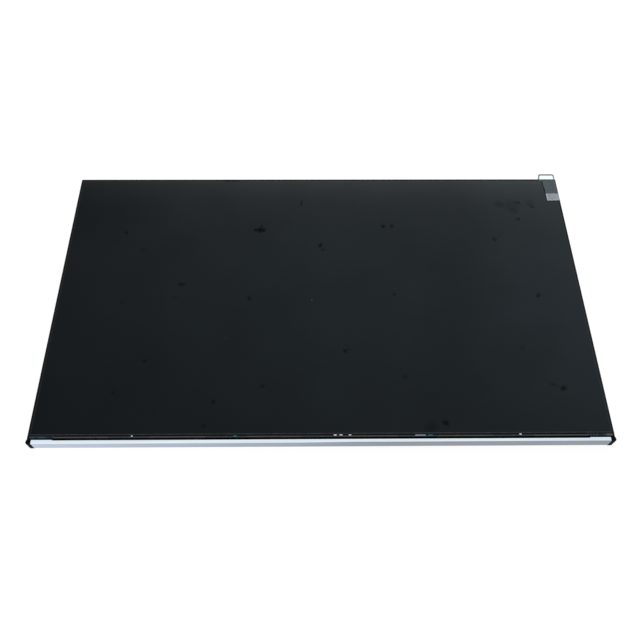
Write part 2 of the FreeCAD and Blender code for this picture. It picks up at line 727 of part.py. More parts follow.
def bracket_screw(x):
    """Pan-head screw under the bracket's plate, tapped into its pedestal."""
    head = rod(x, y_screw, HEAD_R, PLATE_LIFT - HEAD_H, PLATE_LIFT)
    shank = rod(x, y_screw, SCREW_R - SCREW_FIT, PLATE_LIFT, PLATE_LIFT + SCREW_L)
    return head.fuse(shank)


parts = {
    "protective_film": front_sheet(z_film, z_face),
    "pull_tab": pull_tab(),
    "pull_tab_tape": pull_tab_tape(),
    "front_polariser": front_sheet(z_filter_top, z_film),
    "filter_glass": slab(x_glass, y_filter, y_glass, z_ledge, z_filter_top),
    "array_glass": slab(x_glass, y_array, y_glass, z_array, z_ledge),
    "rear_polariser": window(REAR_POLARISER_LAP, z_array - POLARISER_T, z_array),
    "ledge_seal": ledge_seal(),
    "paste_pads": paste_pads(),
    "cell_tape": cell_tape(),
    "middle_frame": middle_frame(),
    "brightness_sheet": backlight_sheet(z_brightness, z_brightness + BRIGHTNESS_T),
    "prism_sheet": backlight_sheet(z_prism, z_brightness),
    "diffuser_sheet": backlight_sheet(z_diffuser, z_prism),
    "light_guide": slab(x_guide, y_guide_foot, y_guide_top, z_guide, z_diffuser),
    "guide_pads": guide_pads(),
    "reflector_sheet": backlight_sheet(z_tray, z_guide),
    "lamps": lamps(),
    "lamp_board": lamp_strip(y_lamp_board, y_lamps, 0),
    "lamp_tape": lamp_strip(y_lamp_tape, y_lamp_board, LED_TAPE_INSET),
    "lamp_tail": lamp_tail(),
    "back_cover": back_cover(),
    "board_insulator": board_sheet(z_board_top, z_floor),
    "source_board": board_sheet(z_board, z_board_top),
    "timing_chip": board_part(x_timing, y_parts, TIMING_W, TIMING_W, TIMING_H),
    "power_chip": board_part(x_power, y_parts, POWER_W, POWER_W, POWER_H),
    "inductors": inductors(),
    "capacitors": capacitors(),
    "video_socket_body": video_socket_body(),
    "video_socket_shell": video_socket_shell(),
    "video_socket_contacts": socket_contacts(x_video, VIDEO_PIN_COUNT, VIDEO_PITCH, CONTACT_W, VIDEO_D),
    "lamp_socket_body": lamp_socket_body(),
    "lamp_socket_pins": socket_contacts(x_lamp, LAMP_PIN_COUNT, LAMP_PITCH, LAMP_PIN_W, LAMP_D),
    "tail_socket": tail_socket(),
    "foot_bracket": foot_bracket(),
    "bracket_screws": Part.makeCompound([bracket_screw(x) for x in screw_xs]),
}
for number, x_film in enumerate(film_xs, start=1):
    parts["driver_film_%d" % number] = driver_film(x_film)
    parts["driver_chip_%d" % number] = driver_chip(x_film)

os.makedirs("parts", exist_ok=True)
for name, shape in parts.items():
    shape.exportStep("parts/%s.step" % name)
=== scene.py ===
import json
import math

import bmesh
import bpy
from mathutils import Euler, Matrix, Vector


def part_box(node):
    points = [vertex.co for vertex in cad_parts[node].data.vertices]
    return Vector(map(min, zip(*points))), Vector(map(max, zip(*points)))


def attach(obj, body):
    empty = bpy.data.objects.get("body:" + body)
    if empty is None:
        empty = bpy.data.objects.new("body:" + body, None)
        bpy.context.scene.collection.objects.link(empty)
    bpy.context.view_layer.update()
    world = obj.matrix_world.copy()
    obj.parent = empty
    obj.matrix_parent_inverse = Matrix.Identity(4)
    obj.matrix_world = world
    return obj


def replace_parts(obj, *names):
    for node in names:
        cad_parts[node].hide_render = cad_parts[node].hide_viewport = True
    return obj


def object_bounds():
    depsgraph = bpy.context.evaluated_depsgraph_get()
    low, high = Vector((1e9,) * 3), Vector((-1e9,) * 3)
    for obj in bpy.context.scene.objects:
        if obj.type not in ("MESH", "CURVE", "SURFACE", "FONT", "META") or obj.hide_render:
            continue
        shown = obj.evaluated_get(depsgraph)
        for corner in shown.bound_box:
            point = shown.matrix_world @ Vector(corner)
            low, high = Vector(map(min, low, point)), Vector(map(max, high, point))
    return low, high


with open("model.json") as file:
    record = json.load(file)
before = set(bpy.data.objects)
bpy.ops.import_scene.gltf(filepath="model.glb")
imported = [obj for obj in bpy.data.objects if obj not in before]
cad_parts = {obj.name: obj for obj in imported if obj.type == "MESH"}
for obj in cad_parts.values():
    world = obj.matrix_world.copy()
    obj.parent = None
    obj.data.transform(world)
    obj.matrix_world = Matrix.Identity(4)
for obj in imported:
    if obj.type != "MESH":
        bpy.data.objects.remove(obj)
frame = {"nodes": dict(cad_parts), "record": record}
CAD_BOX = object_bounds()
NODES = frame["nodes"]

bl_info = {
    "name": "Screen panel",
    "version": (1, 0, 0),
    "blender": (4, 5, 0),
    "location": "View3D > Sidebar > Screen panel",
    "description": "Finishes a bare display module: film, glass, moulding, sheet metal and drivers",
    "category": "Object",
}

# The reference picture is square, and pixels count from its top left corner
PICTURE_PIXELS = 640
LEDGE_PIXEL_SHARE = 0.68        # how far down the picture the ledge lies
SENSOR_MM = 36.0

WAVE_PITCH = math.pi / 10       # metres between the lines of a wave texture at scale 1
NOISE_SPAN = (0.3, 0.7)         # most of a noise texture's values lie between these
RAGGED_MM = 4.0                 # size and reach of the ragged outline of a mark
MARK_FADE = (1.35, 0.45)        # where a mark starts and where it is full, in half its size
TAB_SHADOW_DEPTH = 0.85             # how much of the film's tone the painted shadow round the pull tab hides

# Driver films and their chips from the left, and the films that the bracket's screws line up with
DRIVER_FILMS = ["driver_film_%d" % number for number in range(1, 7)]
DRIVER_CHIPS = ["driver_chip_%d" % number for number in range(1, 7)]
SCREW_FILMS = ("driver_film_1", "driver_film_3", "driver_film_6")

# Profiles from the bottom up: share of the outline and share of the height
DAB_PROFILE = ((1.0, 0.0), (0.97, 0.35), (0.85, 0.7), (0.6, 0.93), (0.25, 1.0))
STRIP_PROFILE = ((1.0, 0.0), (1.0, 0.6), (0.98, 1.0))
HEAD_PROFILE = ((0.62, 0.0), (0.82, 0.1), (0.95, 0.35), (1.0, 0.7), (1.0, 1.0))
SHANK_SHARE = 0.54              # radius of a screw's shank in radii of its head
TIP_SHARE = 0.4                 # the same at the tip, and the tip's length in heights of the head
RECESS_FOOT = (0.55, 0.82)      # length and width of a recess at its foot, as shares of those at its mouth
THREAD_FOOT = 0.42              # half the foot of a thread's ridge, in pitches
SQUARE_DAB = 2.5                # length in widths past which a dab turns squarer
GROUND_DAB_LENGTH = 1.3         # length of a grounding dab in widths
DAB_STEPS = 28                  # points round a dab
SCREW_STEPS = 36                # points round a screw
THREAD_STEPS = 20               # points round a turn of a thread
FLOOR_HALF = 4.0                # metres from the floor's middle to its sides
FLOOR_CELLS = 8                 # squares along a side of the floor, whose glow is sampled face by face
FLOOR_GAP_MM = 0.02             # from the part's lowest point down to the floor

# Bright dabs of silver paste on the sealant bead: pixel across, length and width in mm
BEAD_DABS = (
    (131.9, 2.0, 1.0),
    (335.3, 3.0, 1.1),
    (341.0, 3.2, 0.9),
    (350.0, 2.8, 0.9),
    (520.7, 2.6, 1.1),
)
# The tinned strip on the ledge, in the same way
LEDGE_STRIPS = (
    (420.4, 10.4, 1.2),
)
# Teal dabs on the ledge, in the same way; their teal is a painted glint of the metal marks on the glass
TEAL_GLINT_DABS = (
    (235.1, 3.6, 1.1),
    (430.6, 4.6, 0.8),
)

# Dull marks in the masking film: pixel across and down, length and width in mm, turn in degrees, depth
DULL_MARKS = (
    (256.2, 230.2, 6.0, 5.0, 0.0, 0.95),
    (260.0, 230.2, 7.0, 7.0, 0.0, 1.0),
    (263.6, 230.2, 5.5, 5.0, -15.0, 0.95),
    (261.8, 227.2, 2.6, 7.0, 0.0, 0.8),
    (383.6, 226.2, 5.0, 6.5, 0.0, 0.8),
    (391.7, 226.2, 4.2, 5.0, 0.0, 0.65),
    (320.6, 245.2, 4.2, 6.0, -25.0, 0.85),
    (323.0, 250.0, 4.0, 3.0, 0.0, 0.5),
    (301.6, 203.3, 10.0, 1.8, 90.0, 0.75),
    (126.2, 232.7, 4.8, 2.8, -60.0, 0.9),
    (143.2, 250.6, 9.5, 3.2, -42.0, 0.4),
    (181.7, 284.5, 7.5, 4.2, 0.0, 0.75),
    (175.6, 297.4, 6.5, 3.0, 10.0, 0.3),
    (122.5, 303.2, 4.0, 3.0, 0.0, 0.45),
    (249.6, 298.4, 4.2, 5.6, -15.0, 0.75),
    (394.5, 294.6, 4.2, 4.8, 0.0, 0.5),
    (494.5, 239.2, 4.6, 4.6, 30.0, 0.6),
    (500.0, 235.5, 12.0, 3.0, 40.0, 0.15),
    (518.1, 219.4, 5.5, 3.6, 40.0, 0.65),
    (499.5, 204.5, 13.0, 9.0, -25.0, 0.28),
    (512.0, 206.0, 17.0, 18.0, -20.0, 0.22),
    (514.0, 210.5, 12.0, 9.0, -35.0, 0.3),
    (517.0, 202.6, 8.0, 4.5, -10.0, 0.5),
    (531.5, 206.6, 7.0, 5.0, -20.0, 0.45),
    (530.0, 202.5, 10.0, 10.0, 0.0, 0.2),
    (537.8, 295.3, 4.6, 4.0, 30.0, 0.7),
    (539.0, 294.6, 7.5, 6.0, 30.0, 0.2),
    (522.4, 347.4, 7.0, 4.5, 40.0, 0.3),
    (345.2, 351.0, 4.2, 4.0, 30.0, 0.8),
    (347.8, 349.4, 4.5, 3.0, 35.0, 0.4),
    (405.3, 376.9, 4.4, 4.0, 0.0, 0.5),
    (564.0, 388.2, 7.0, 5.4, 20.0, 0.75),
    (553.2, 384.5, 5.0, 2.8, -10.0, 0.45),
    (557.5, 385.9, 5.0, 2.0, -25.0, 0.25),
    (144.3, 361.0, 4.8, 4.4, 0.0, 0.7),
    (112.8, 393.2, 3.8, 3.6, 0.0, 0.6),
    (262.4, 386.6, 5.0, 4.2, 0.0, 0.7),
    (213.2, 401.8, 4.2, 4.8, 0.0, 0.75),
    (203.1, 426.1, 4.2, 4.2, 0.0, 0.7),
    (445.8, 422.9, 7.0, 5.0, -20.0, 0.85),
    (431.0, 427.5, 14.0, 9.0, 10.0, 0.35),
    (230.0, 181.0, 24.0, 3.0, 0.0, 0.5),
)
# Pale lint on the masking film, in the same way
LINT_SPECKS = (
    (311.5, 300.5, 1.4, 1.7, 0.0, 0.14),
    (224.8, 338.4, 4.5, 1.6, 10.0, 0.018),
)
# Dull stretch of the frame's far rim, in the same way
RIM_MARKS = (
    (230.0, 180.0, 24.0, 6.0, 0.0, 1.0),
)


def linear(hex_text):
    """Linear colour with full alpha from an sRGB hex value."""
    shares = [int(hex_text[i:i + 2], 16) / 255 for i in (1, 3, 5)]
    rgb = [s / 12.92 if s <= 0.04045 else ((s + 0.055) / 1.055) ** 2.4 for s in shares]
    return (*rgb, 1.0)


def mm(size):
    """Metres from millimetres."""
    return size / 1000


def colour(name, description, hex_text):
    """Colour that a user can change."""
    return bpy.props.FloatVectorProperty(
        name=name, description=description, subtype="COLOR", size=4, min=0, max=1,
        default=linear(hex_text),
    )


def length(name, description, size):
    """Length that a user can change, with its default in millimetres."""
    return bpy.props.FloatProperty(name=name, description=description, unit="LENGTH", default=mm(size))


def place(name, description, metres):
    """Place in the part's frame that a user can change."""
    return bpy.props.FloatVectorProperty(
        name=name, description=description, subtype="XYZ_LENGTH", unit="LENGTH", default=metres,
    )


class PanelColours(bpy.types.PropertyGroup):
    """Colours of the panel's finishes."""

    film: colour("Masking film", "Film on the black polariser, at the foot", "#1b2023")
    # Painted sheen: the film's tone toward its far edge
    film_top_sheen: colour("Film haze", "Film on the black polariser, at the top", "#1d2021")
    # Painted highlight on the film's cut edge
    film_edge_glint: colour("Film edge", "Milky cut edge of the masking film", "#8f979c")
    # Tone of the dull marks, and of the painted shadow round the pull tab
    film_mark_and_shadow: colour("Film mark", "Dull mark in the masking film", "#070b0e")
    lint: colour("Lint", "Lint on the masking film", "#c8ccce")
    polariser: colour("Polariser", "Matte black polariser", "#0d0f10")
    glass: colour("Panel glass", "Glass over its black border print", "#202528")
    glass_ledge: colour("Bare glass", "Bare glass of the ledge", "#141d26")
    glass_wired: colour("Wired glass", "Ledge of the glass between the driver films", "#33393f")
    wiring: colour("Glass wiring", "Wiring on the ledge past the outer driver films", "#4c6484")
    glass_end: colour("Glass end", "Metal at both ends of the ledge", "#50565b")
    tab: colour("Pull tab", "Clear film of the pull tab", "#f3fdff")
    tab_sheen: colour("Pull tab sheen", "Tint of the pull tab's reflection", "#dcecff")
    tab_edge: colour("Pull tab edge", "Frosted cut edge of the pull tab", "#7c7d81")
    tab_adhesive: colour("Tab adhesive", "Adhesive strip under the pull tab", "#bcb7ba")
    moulding: colour("Frame moulding", "Black moulded frame", "#0c0d0e")
    # Painted sheen on the top of the frame's rim
    moulding_rim_sheen: colour("Frame rim", "Top of the frame's rim, polished by handling", "#2b2e30")
    # Painted light of the bracket: the flange's highlight, its streaks, and the reflection on the wall
    zinc_flange_highlight: colour("Rubbed zinc", "Rubbed zinc of the bracket's flange", "#d3e3ee")
    zinc_highlight_streak: colour("Polished zinc", "Lines polished into the rubbed zinc", "#eef6fa")
    zinc_wall_reflection: colour("Dull zinc", "Dull zinc of the bracket's wall", "#bfc9d9")
    zinc_nick: colour("Zinc nick", "Small nicks in the bracket's zinc", "#6d747c")
    zinc_sheet: colour("Back cover", "Zinc-coated steel of the back cover", "#b9bdc1")
    driver_film: colour("Driver film", "Polyimide of the driver films", "#393938")
    driver_track: colour("Driver track", "Tinned tracks in the driver films", "#606060")
    # Painted shade on the bend of the driver films
    driver_bend_shade: colour("Driver resist", "Black resist on the bend of the driver films", "#08090a")
    board: colour("Board", "Solder mask of the source board", "#0e4b2f")
    board_track: colour("Board track", "Masked copper of the source board", "#17653f")


class PanelSizes(bpy.types.PropertyGroup):
    """Sizes of what the finish adds to the panel."""

    tab_neck: length("Tab neck width", "Width of the pull tab's neck", 14.4)
    tab_lap: length("Tab head lap", "Head of the pull tab on the frame's side of the top edge", 3.0)
    tab_foot: length("Tab foot width", "Width of the pull tab's neck at its foot", 13.85)
    tab_turn: bpy.props.FloatProperty(
        name="Tab turn", description="Turn of the pull tab's neck, which was stuck down askew",
        subtype="ANGLE", unit="ROTATION", default=math.radians(1.8),
    )
    tab_lean: length("Tab lean", "Lean of the head's left edge, out toward its foot", 1.2)
    tab_corner: length("Tab corner", "Corner radius of the pull tab's head", 2.5)
    tab_rim: length("Tab rim", "Frosted rim of the pull tab's head", 1.5)
    tab_far_rim: length("Tab far rim", "Frosted rim at the far edge of the pull tab's head", 2.1)
    tab_dish: length("Tab dish", "Tab's clear field below its rim", 0.03)
    strip_length: length("Strip length", "Adhesive strip, from the foot of the pull tab's neck up", 9.9)
    # The teal dabs called resin here are metal marks with a painted glint
    lap_back: length("Lap back", "Middle of the strip and the resin, before the sealant bead's edge", 0.15)
    lap_height: length("Lap height", "Height of the strip and the resin, which lap onto the bead", 0.5)
    recess_length: length("Recess length", "Cross recess in a screw's head, end to end", 2.4)
    recess_width: length("Recess width", "Width of a cross recess's slots", 0.55)
    recess_depth: length("Recess depth", "Depth of a cross recess", 0.35)
    thread_pitch: length("Thread pitch", "Pitch of the mounting holes' threads", 0.5)
    thread_length: length("Thread length", "Length of the mounting holes' threads", 2.2)
    thread_depth: length("Thread depth", "Depth of the mounting holes' threads", 0.2)


class StageSettings(bpy.types.PropertyGroup):
    """Camera, lamps and floor."""

    camera_place: place("Camera place", "Camera's place", (-0.00884, -0.37598, 0.61438))
    camera_turn: bpy.props.FloatVectorProperty(
        name="Camera turn", description="Camera's turn about X, Y and Z", subtype="EULER",
        unit="ROTATION", default=(math.radians(30.066), math.radians(-0.466), math.radians(-0.482)),
    )
    camera_lens: bpy.props.FloatProperty(
        name="Camera lens", description="Focal length", subtype="DISTANCE_CAMERA", default=38.982,
    )
    sky: bpy.props.FloatProperty(name="Sky", description="Level of the sky's even light", default=0.62)
    key_place: place("Key place", "Place of the lamp behind the right", (0.55, 0.75, 0.9))
    key_size: length("Key size", "Side of the lamp behind the right", 800.0)
    key_watts: bpy.props.FloatProperty(
        name="Key lamp", description="Power of the lamp behind the right", subtype="POWER", default=7.0,
    )
    fill_place: place("Fill place", "Place of the lamp before the left", (-0.8, -0.8, 0.6))
    fill_size: length("Fill size", "Side of the lamp before the left", 500.0)
    fill_watts: bpy.props.FloatProperty(
        name="Fill lamp", description="Power of the lamp before the left", subtype="POWER", default=2.5,
    )
    floor: colour("Floor", "Paper of the floor, which takes the panel's shadow", "#7c7c7c")
    floor_glow: bpy.props.FloatProperty(
        name="Floor glow", description="Level that lifts the floor to the background's white", default=0.87,
    )


def add_node(tree, kind, inputs=None, **settings):
    """Adds a node with its settings; an input is a value, or a socket to link."""
    node = tree.nodes.new(kind)
    for name, value in settings.items():
        setattr(node, name, value)
    for key, value in (inputs or {}).items():
        if isinstance(value, bpy.types.NodeSocket):
            tree.links.new(value, node.inputs[key])
        else:
            node.inputs[key].default_value = value
    return node


def new_finish(name):
    """Empty material of that name and its node tree."""
    material = bpy.data.materials.new(name)
    material.use_nodes = True
    material.node_tree.nodes.clear()
    return material, material.node_tree


def end_finish(tree, inputs):
    """Closes a material with one principled shader."""
    shader = add_node(tree, "ShaderNodeBsdfPrincipled", inputs)
    add_node(tree, "ShaderNodeOutputMaterial", {"Surface": shader.outputs[0]})


def dress(material, *names):
    """Gives CAD nodes their finish."""
    for name in names:
        slots = NODES[name].data.materials
        slots.clear()
        slots.append(material)


def along(tree, axis, start, end, low=0.0, high=1.0):
    """Level along an axis of the part, from low at the start to high at the end."""
    spot = add_node(tree, "ShaderNodeTexCoord").outputs["Object"]
    axes = add_node(tree, "ShaderNodeSeparateXYZ", {0: spot}).outputs
    run = {"Value": axes[axis], "From Min": start, "From Max": end, "To Min": low, "To Max": high}
    return add_node(tree, "ShaderNodeMapRange", run).outputs[0]


def painted(tree, base, *coats):
    """Colour under one coat after another: a mask with its colour, or a level that shades it."""
    for coat in coats:
        if isinstance(coat, tuple):
            cover = {0: coat[0], 6: base, 7: coat[1]}
            base = add_node(tree, "ShaderNodeMix", cover, data_type="RGBA").outputs[2]
        else:
            shade = {0: base, "Scale": coat}
            base = add_node(tree, "ShaderNodeVectorMath", shade, operation="SCALE").outputs[0]
    return base


def patches(tree, size, low, high, stretch=(1, 1, 1)):
    """Soft variation from low to high, in patches of that size in mm, longer where stretch is larger."""
    spot = add_node(tree, "ShaderNodeTexCoord").outputs["Object"]
    scale = [1 / mm(size * s) for s in stretch]
    cells = add_node(tree, "ShaderNodeMapping", {"Vector": spot, "Scale": scale}).outputs[0]
    cloud = add_node(tree, "ShaderNodeTexNoise", {"Vector": cells, "Scale": 1.0, "Detail": 3.0}).outputs[0]
    least, most = NOISE_SPAN
    spread = {"Value": cloud, "From Min": least, "From Max": most, "To Min": low, "To Max": high}
    return add_node(tree, "ShaderNodeMapRange", spread).outputs[0]


def specks(tree, spacing, size):
    """Mask of small dots about that far apart and that large, in mm."""
    spot = add_node(tree, "ShaderNodeTexCoord").outputs["Object"]
    cells = add_node(tree, "ShaderNodeTexVoronoi", {"Vector": spot, "Scale": 1 / mm(spacing)})
    edge = size / spacing / 2
    reach = {"Value": cells.outputs["Distance"], "From Min": edge, "From Max": edge / 2}
    return add_node(tree, "ShaderNodeMapRange", reach).outputs[0]


def stripes(tree, axis, pitch, turn=0.0):
    """Lines across one axis of the part, with that pitch in mm and a turn in degrees."""
    spot = add_node(tree, "ShaderNodeTexCoord").outputs["Object"]
    tilt = {"Vector": spot, "Rotation": (0.0, 0.0, math.radians(turn))}
    lines = add_node(tree, "ShaderNodeMapping", tilt).outputs[0]
    wave = {"Vector": lines, "Scale": WAVE_PITCH / mm(pitch)}
    return add_node(tree, "ShaderNodeTexWave", wave, bands_direction=axis).outputs[1]


def mottled(name, base, roughness, patch, spread=0.12, specular=0.5, metallic=0.0, **values):
    """Finish of one colour whose tone and gloss vary in patches of that size in mm."""
    material, tree = new_finish(name)
    tone = painted(tree, base[:3], patches(tree, patch, 1 - spread, 1 + spread))
    gloss = patches(tree, patch / 2, roughness * 0.9, roughness * 1.1)
    looks = {"Base Color": tone, "Roughness": gloss, "Specular IOR Level": specular, "Metallic": metallic}
    end_finish(tree, {**looks, **values})
    return material


def stage_settings():
    """The scene's camera, lamp and floor settings."""
    return bpy.context.scene.panel_stage


def on_level(pixel_x, pixel_y, z):
    """Point at a height in the part's frame that the picture shows at a pixel."""
    settings = stage_settings()
    focal = settings.camera_lens / SENSOR_MM * PICTURE_PIXELS
    middle = PICTURE_PIXELS / 2
    ray = Vector(((pixel_x - middle) / focal, (middle - pixel_y) / focal, -1.0))
    ray.rotate(Euler(settings.camera_turn))
    start = Vector(settings.camera_place)
    return start + ray * ((z - start.z) / ray.z)


def mark_mask(tree, marks, z):
    """Mask of marks on a level face, each a soft ragged oval."""
    spot = add_node(tree, "ShaderNodeTexCoord").outputs["Object"]
    ragged = {"Vector": spot, "Scale": 1 / mm(RAGGED_MM), "Detail": 3.0}
    wander = {0: add_node(tree, "ShaderNodeTexNoise", ragged).outputs["Color"], 1: (0.5, 0.5, 0.5)}
    centred = add_node(tree, "ShaderNodeVectorMath", wander, operation="SUBTRACT").outputs[0]
    sway = {0: centred, "Scale": mm(RAGGED_MM)}
    drift = add_node(tree, "ShaderNodeVectorMath", sway, operation="SCALE").outputs[0]
    bent = add_node(tree, "ShaderNodeVectorMath", {0: spot, 1: drift}, operation="ADD").outputs[0]
    start, full = MARK_FADE
    mask = None
    for pixel_x, pixel_y, long, wide, turn, depth in marks:
        oval = {
            "Vector": bent,
            "Location": on_level(pixel_x, pixel_y, z),
            "Rotation": (0.0, 0.0, math.radians(turn)),
            "Scale": (mm(long) / 2, mm(wide) / 2, 1.0),
        }
        local = add_node(tree, "ShaderNodeMapping", oval, vector_type="TEXTURE").outputs[0]
        reach = add_node(tree, "ShaderNodeVectorMath", {0: local}, operation="LENGTH").outputs["Value"]
        fade = {"Value": reach, "From Min": start, "From Max": full, "To Max": depth}
        mark = add_node(tree, "ShaderNodeMapRange", fade, interpolation_type="SMOOTHSTEP").outputs[0]
        if mask is None:
            mask = mark
        else:
            mask = add_node(tree, "ShaderNodeMath", {0: mask, 1: mark}, operation="MAXIMUM").outputs[0]
    return mask


def tab_pivot():
    """Top right corner of the pull tab's neck, which the neck is turned about."""
    lap = bpy.context.scene.panel_sizes.tab_lap
    return Vector((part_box("pull_tab")[1].x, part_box("middle_frame")[1].y - lap, 0.0))


def past_sides(tree, low, high, pivot=(0.0, 0.0, 0.0), turn=0.0):
    """Distance past the sides of a level rectangle, turned about a pivot, and negative inside it."""
    spot = add_node(tree, "ShaderNodeTexCoord").outputs["Object"]
    askew = {"Vector": spot, "Location": pivot, "Rotation": (0.0, 0.0, turn)}
    local = add_node(tree, "ShaderNodeMapping", askew, vector_type="TEXTURE").outputs[0]
    middle = ((low[0] + high[0]) / 2 - pivot[0], (low[1] + high[1]) / 2 - pivot[1], 0.0)
    half = ((high[0] - low[0]) / 2, (high[1] - low[1]) / 2, 0.0)
    offset = add_node(tree, "ShaderNodeVectorMath", {0: local, 1: middle}, operation="SUBTRACT")
    span = add_node(tree, "ShaderNodeVectorMath", {0: offset.outputs[0]}, operation="ABSOLUTE")
    past = add_node(tree, "ShaderNodeVectorMath", {0: span.outputs[0], 1: half}, operation="SUBTRACT")
    axes = add_node(tree, "ShaderNodeSeparateXYZ", {0: past.outputs[0]}).outputs
    return add_node(tree, "ShaderNodeMath", {0: axes["X"], 1: axes["Y"]}, operation="MAXIMUM").outputs[0]


def tab_shadow_line(tree, width):
    """Mask of the painted shadow along the pull tab's edge on the film, with its width in mm."""
    low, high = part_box("pull_tab_tape")
    top = (high.x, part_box("protective_film")[1].y)
    reach = past_sides(tree, low, top, tab_pivot(), bpy.context.scene.panel_sizes.tab_turn)
    outside = add_node(tree, "ShaderNodeMath", {0: reach, 1: 0.0}, operation="GREATER_THAN").outputs[0]
    fade = {"Value": reach, "From Min": mm(width), "From Max": mm(width) / 4, "To Max": TAB_SHADOW_DEPTH}
    line = add_node(tree, "ShaderNodeMapRange", fade, interpolation_type="SMOOTHSTEP").outputs[0]
    return add_node(tree, "ShaderNodeMath", {0: outside, 1: line}, operation="MULTIPLY").outputs[0]


def cut_edge_glint(tree, low, high, width, most, foot_most):
    """Mask of a painted highlight where light catches a sheet's cut edge, most at the foot, in stretches of
    about 4 mm.
    """
    rim = {"Value": past_sides(tree, low, high), "From Min": -mm(width), "From Max": 0.0, "To Max": most}
    sides = add_node(tree, "ShaderNodeMapRange", rim).outputs[0]
    foot = along(tree, "Y", low.y + mm(width), low.y, 0.0, foot_most)
    line = add_node(tree, "ShaderNodeMath", {0: sides, 1: foot}, operation="MAXIMUM").outputs[0]
    stretch = patches(tree, 4.0, 0.4, 1.2)
    return add_node(tree, "ShaderNodeMath", {0: line, 1: stretch}, operation="MULTIPLY").outputs[0]


def masking_film():
    """Clear polyethylene film, cast and rolled onto the anti-glare polariser."""
    # The black below shows through, greyed by the film's haze; its brightening toward the top right is
    # painted sheen
    colours = bpy.context.scene.panel_colours
    material, tree = new_finish("cast_polyethylene_film")
    low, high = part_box("protective_film")
    share = along(tree, "Y", low.y, high.y)
    # Painted sheen: lighter toward the far edge, and much lighter right at it
    slope = {0: share, 1: 0.62, 2: 0.947}
    rise = add_node(tree, "ShaderNodeMath", slope, operation="MULTIPLY_ADD").outputs[0]
    sheen_crest = add_node(tree, "ShaderNodeMath", {0: share, 1: 16.0}, operation="POWER").outputs[0]
    sheen_crest_lift = {0: sheen_crest, 1: 1.28, 2: rise}
    depth = add_node(tree, "ShaderNodeMath", sheen_crest_lift, operation="MULTIPLY_ADD").outputs[0]
    # Painted shade and sheen: darker toward the left, lighter toward the right
    left = along(tree, "X", -mm(160), 0.0, 0.74, 0.97)
    right = along(tree, "X", mm(140), high.x, 0.0, 0.42)
    side = add_node(tree, "ShaderNodeMath", {0: left, 1: right}).outputs[0]
    # Painted shade: the left end is darker, and its top corner the darkest
    tall = high.y - low.y
    least = along(tree, "Y", low.y + 0.66 * tall, low.y + 0.86 * tall, 0.8, 0.54)
    end = along(tree, "X", -mm(150), low.x, 1.0, least)
    cloud = patches(tree, 60.0, 0.93, 1.07)
    # Painted sheen: the tone shifts toward the top colour near the far edge
    haze = add_node(tree, "ShaderNodeMath", {0: share, 1: 4.0}, operation="POWER").outputs[0]
    # The dull marks are real; the line round the pull tab is painted shadow
    marks = {0: mark_mask(tree, DULL_MARKS, high.z), 1: tab_shadow_line(tree, width=1.4)}
    dull = add_node(tree, "ShaderNodeMath", marks, operation="MAXIMUM").outputs[0]
    lint = mark_mask(tree, LINT_SPECKS, high.z)
    # Painted highlight along the film's cut edge
    edge = cut_edge_glint(tree, low, high, width=0.8, most=0.06, foot_most=0.2)
    tone = painted(
        tree, colours.film, (haze, colours.film_top_sheen), depth, side, end, cloud,
        (dull, colours.film_mark_and_shadow), (lint, colours.lint), (edge, colours.film_edge_glint),
    )
    # The haze grain is near 0.05 mm and is drawn at 1.5 mm so that it shows
    grain = patches(tree, 1.5, 0.46, 0.56)
    end_finish(tree, {"Base Color": tone, "Roughness": grain, "Specular IOR Level": 0.03})
    return material


def matte_polariser():
    """Black polariser sheet with a bead-blasted hard coat."""
    # Deep black with a faint even sheen
    colours = bpy.context.scene.panel_colours
    return mottled("hard_coated_polariser", colours.polariser, 0.45, 2.0, 0.1, IOR=1.5)


def bordered_glass():
    """Float glass over the black border print of the cell."""
    # Black with a clean thin reflection, and painted shade that deepens it toward the left and along the
    # sealant at the foot
    colours = bpy.context.scene.panel_colours
    material, tree = new_finish("float_glass")
    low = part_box("filter_glass")[0]
    # Painted shade: darker along the sealant bead at the foot and toward the left
    foot = along(tree, "Y", low.y + mm(1), low.y + mm(4), 0.2, 1.0)
    drift = along(tree, "X", low.x, mm(100), 0.5, 1.0)
    tone = painted(tree, colours.glass[:3], foot, drift)
    gloss = patches(tree, 30.0, 0.1, 0.14)
    end_finish(tree, {"Base Color": tone, "Roughness": gloss, "IOR": 1.52, "Specular IOR Level": 0.12})
    return material


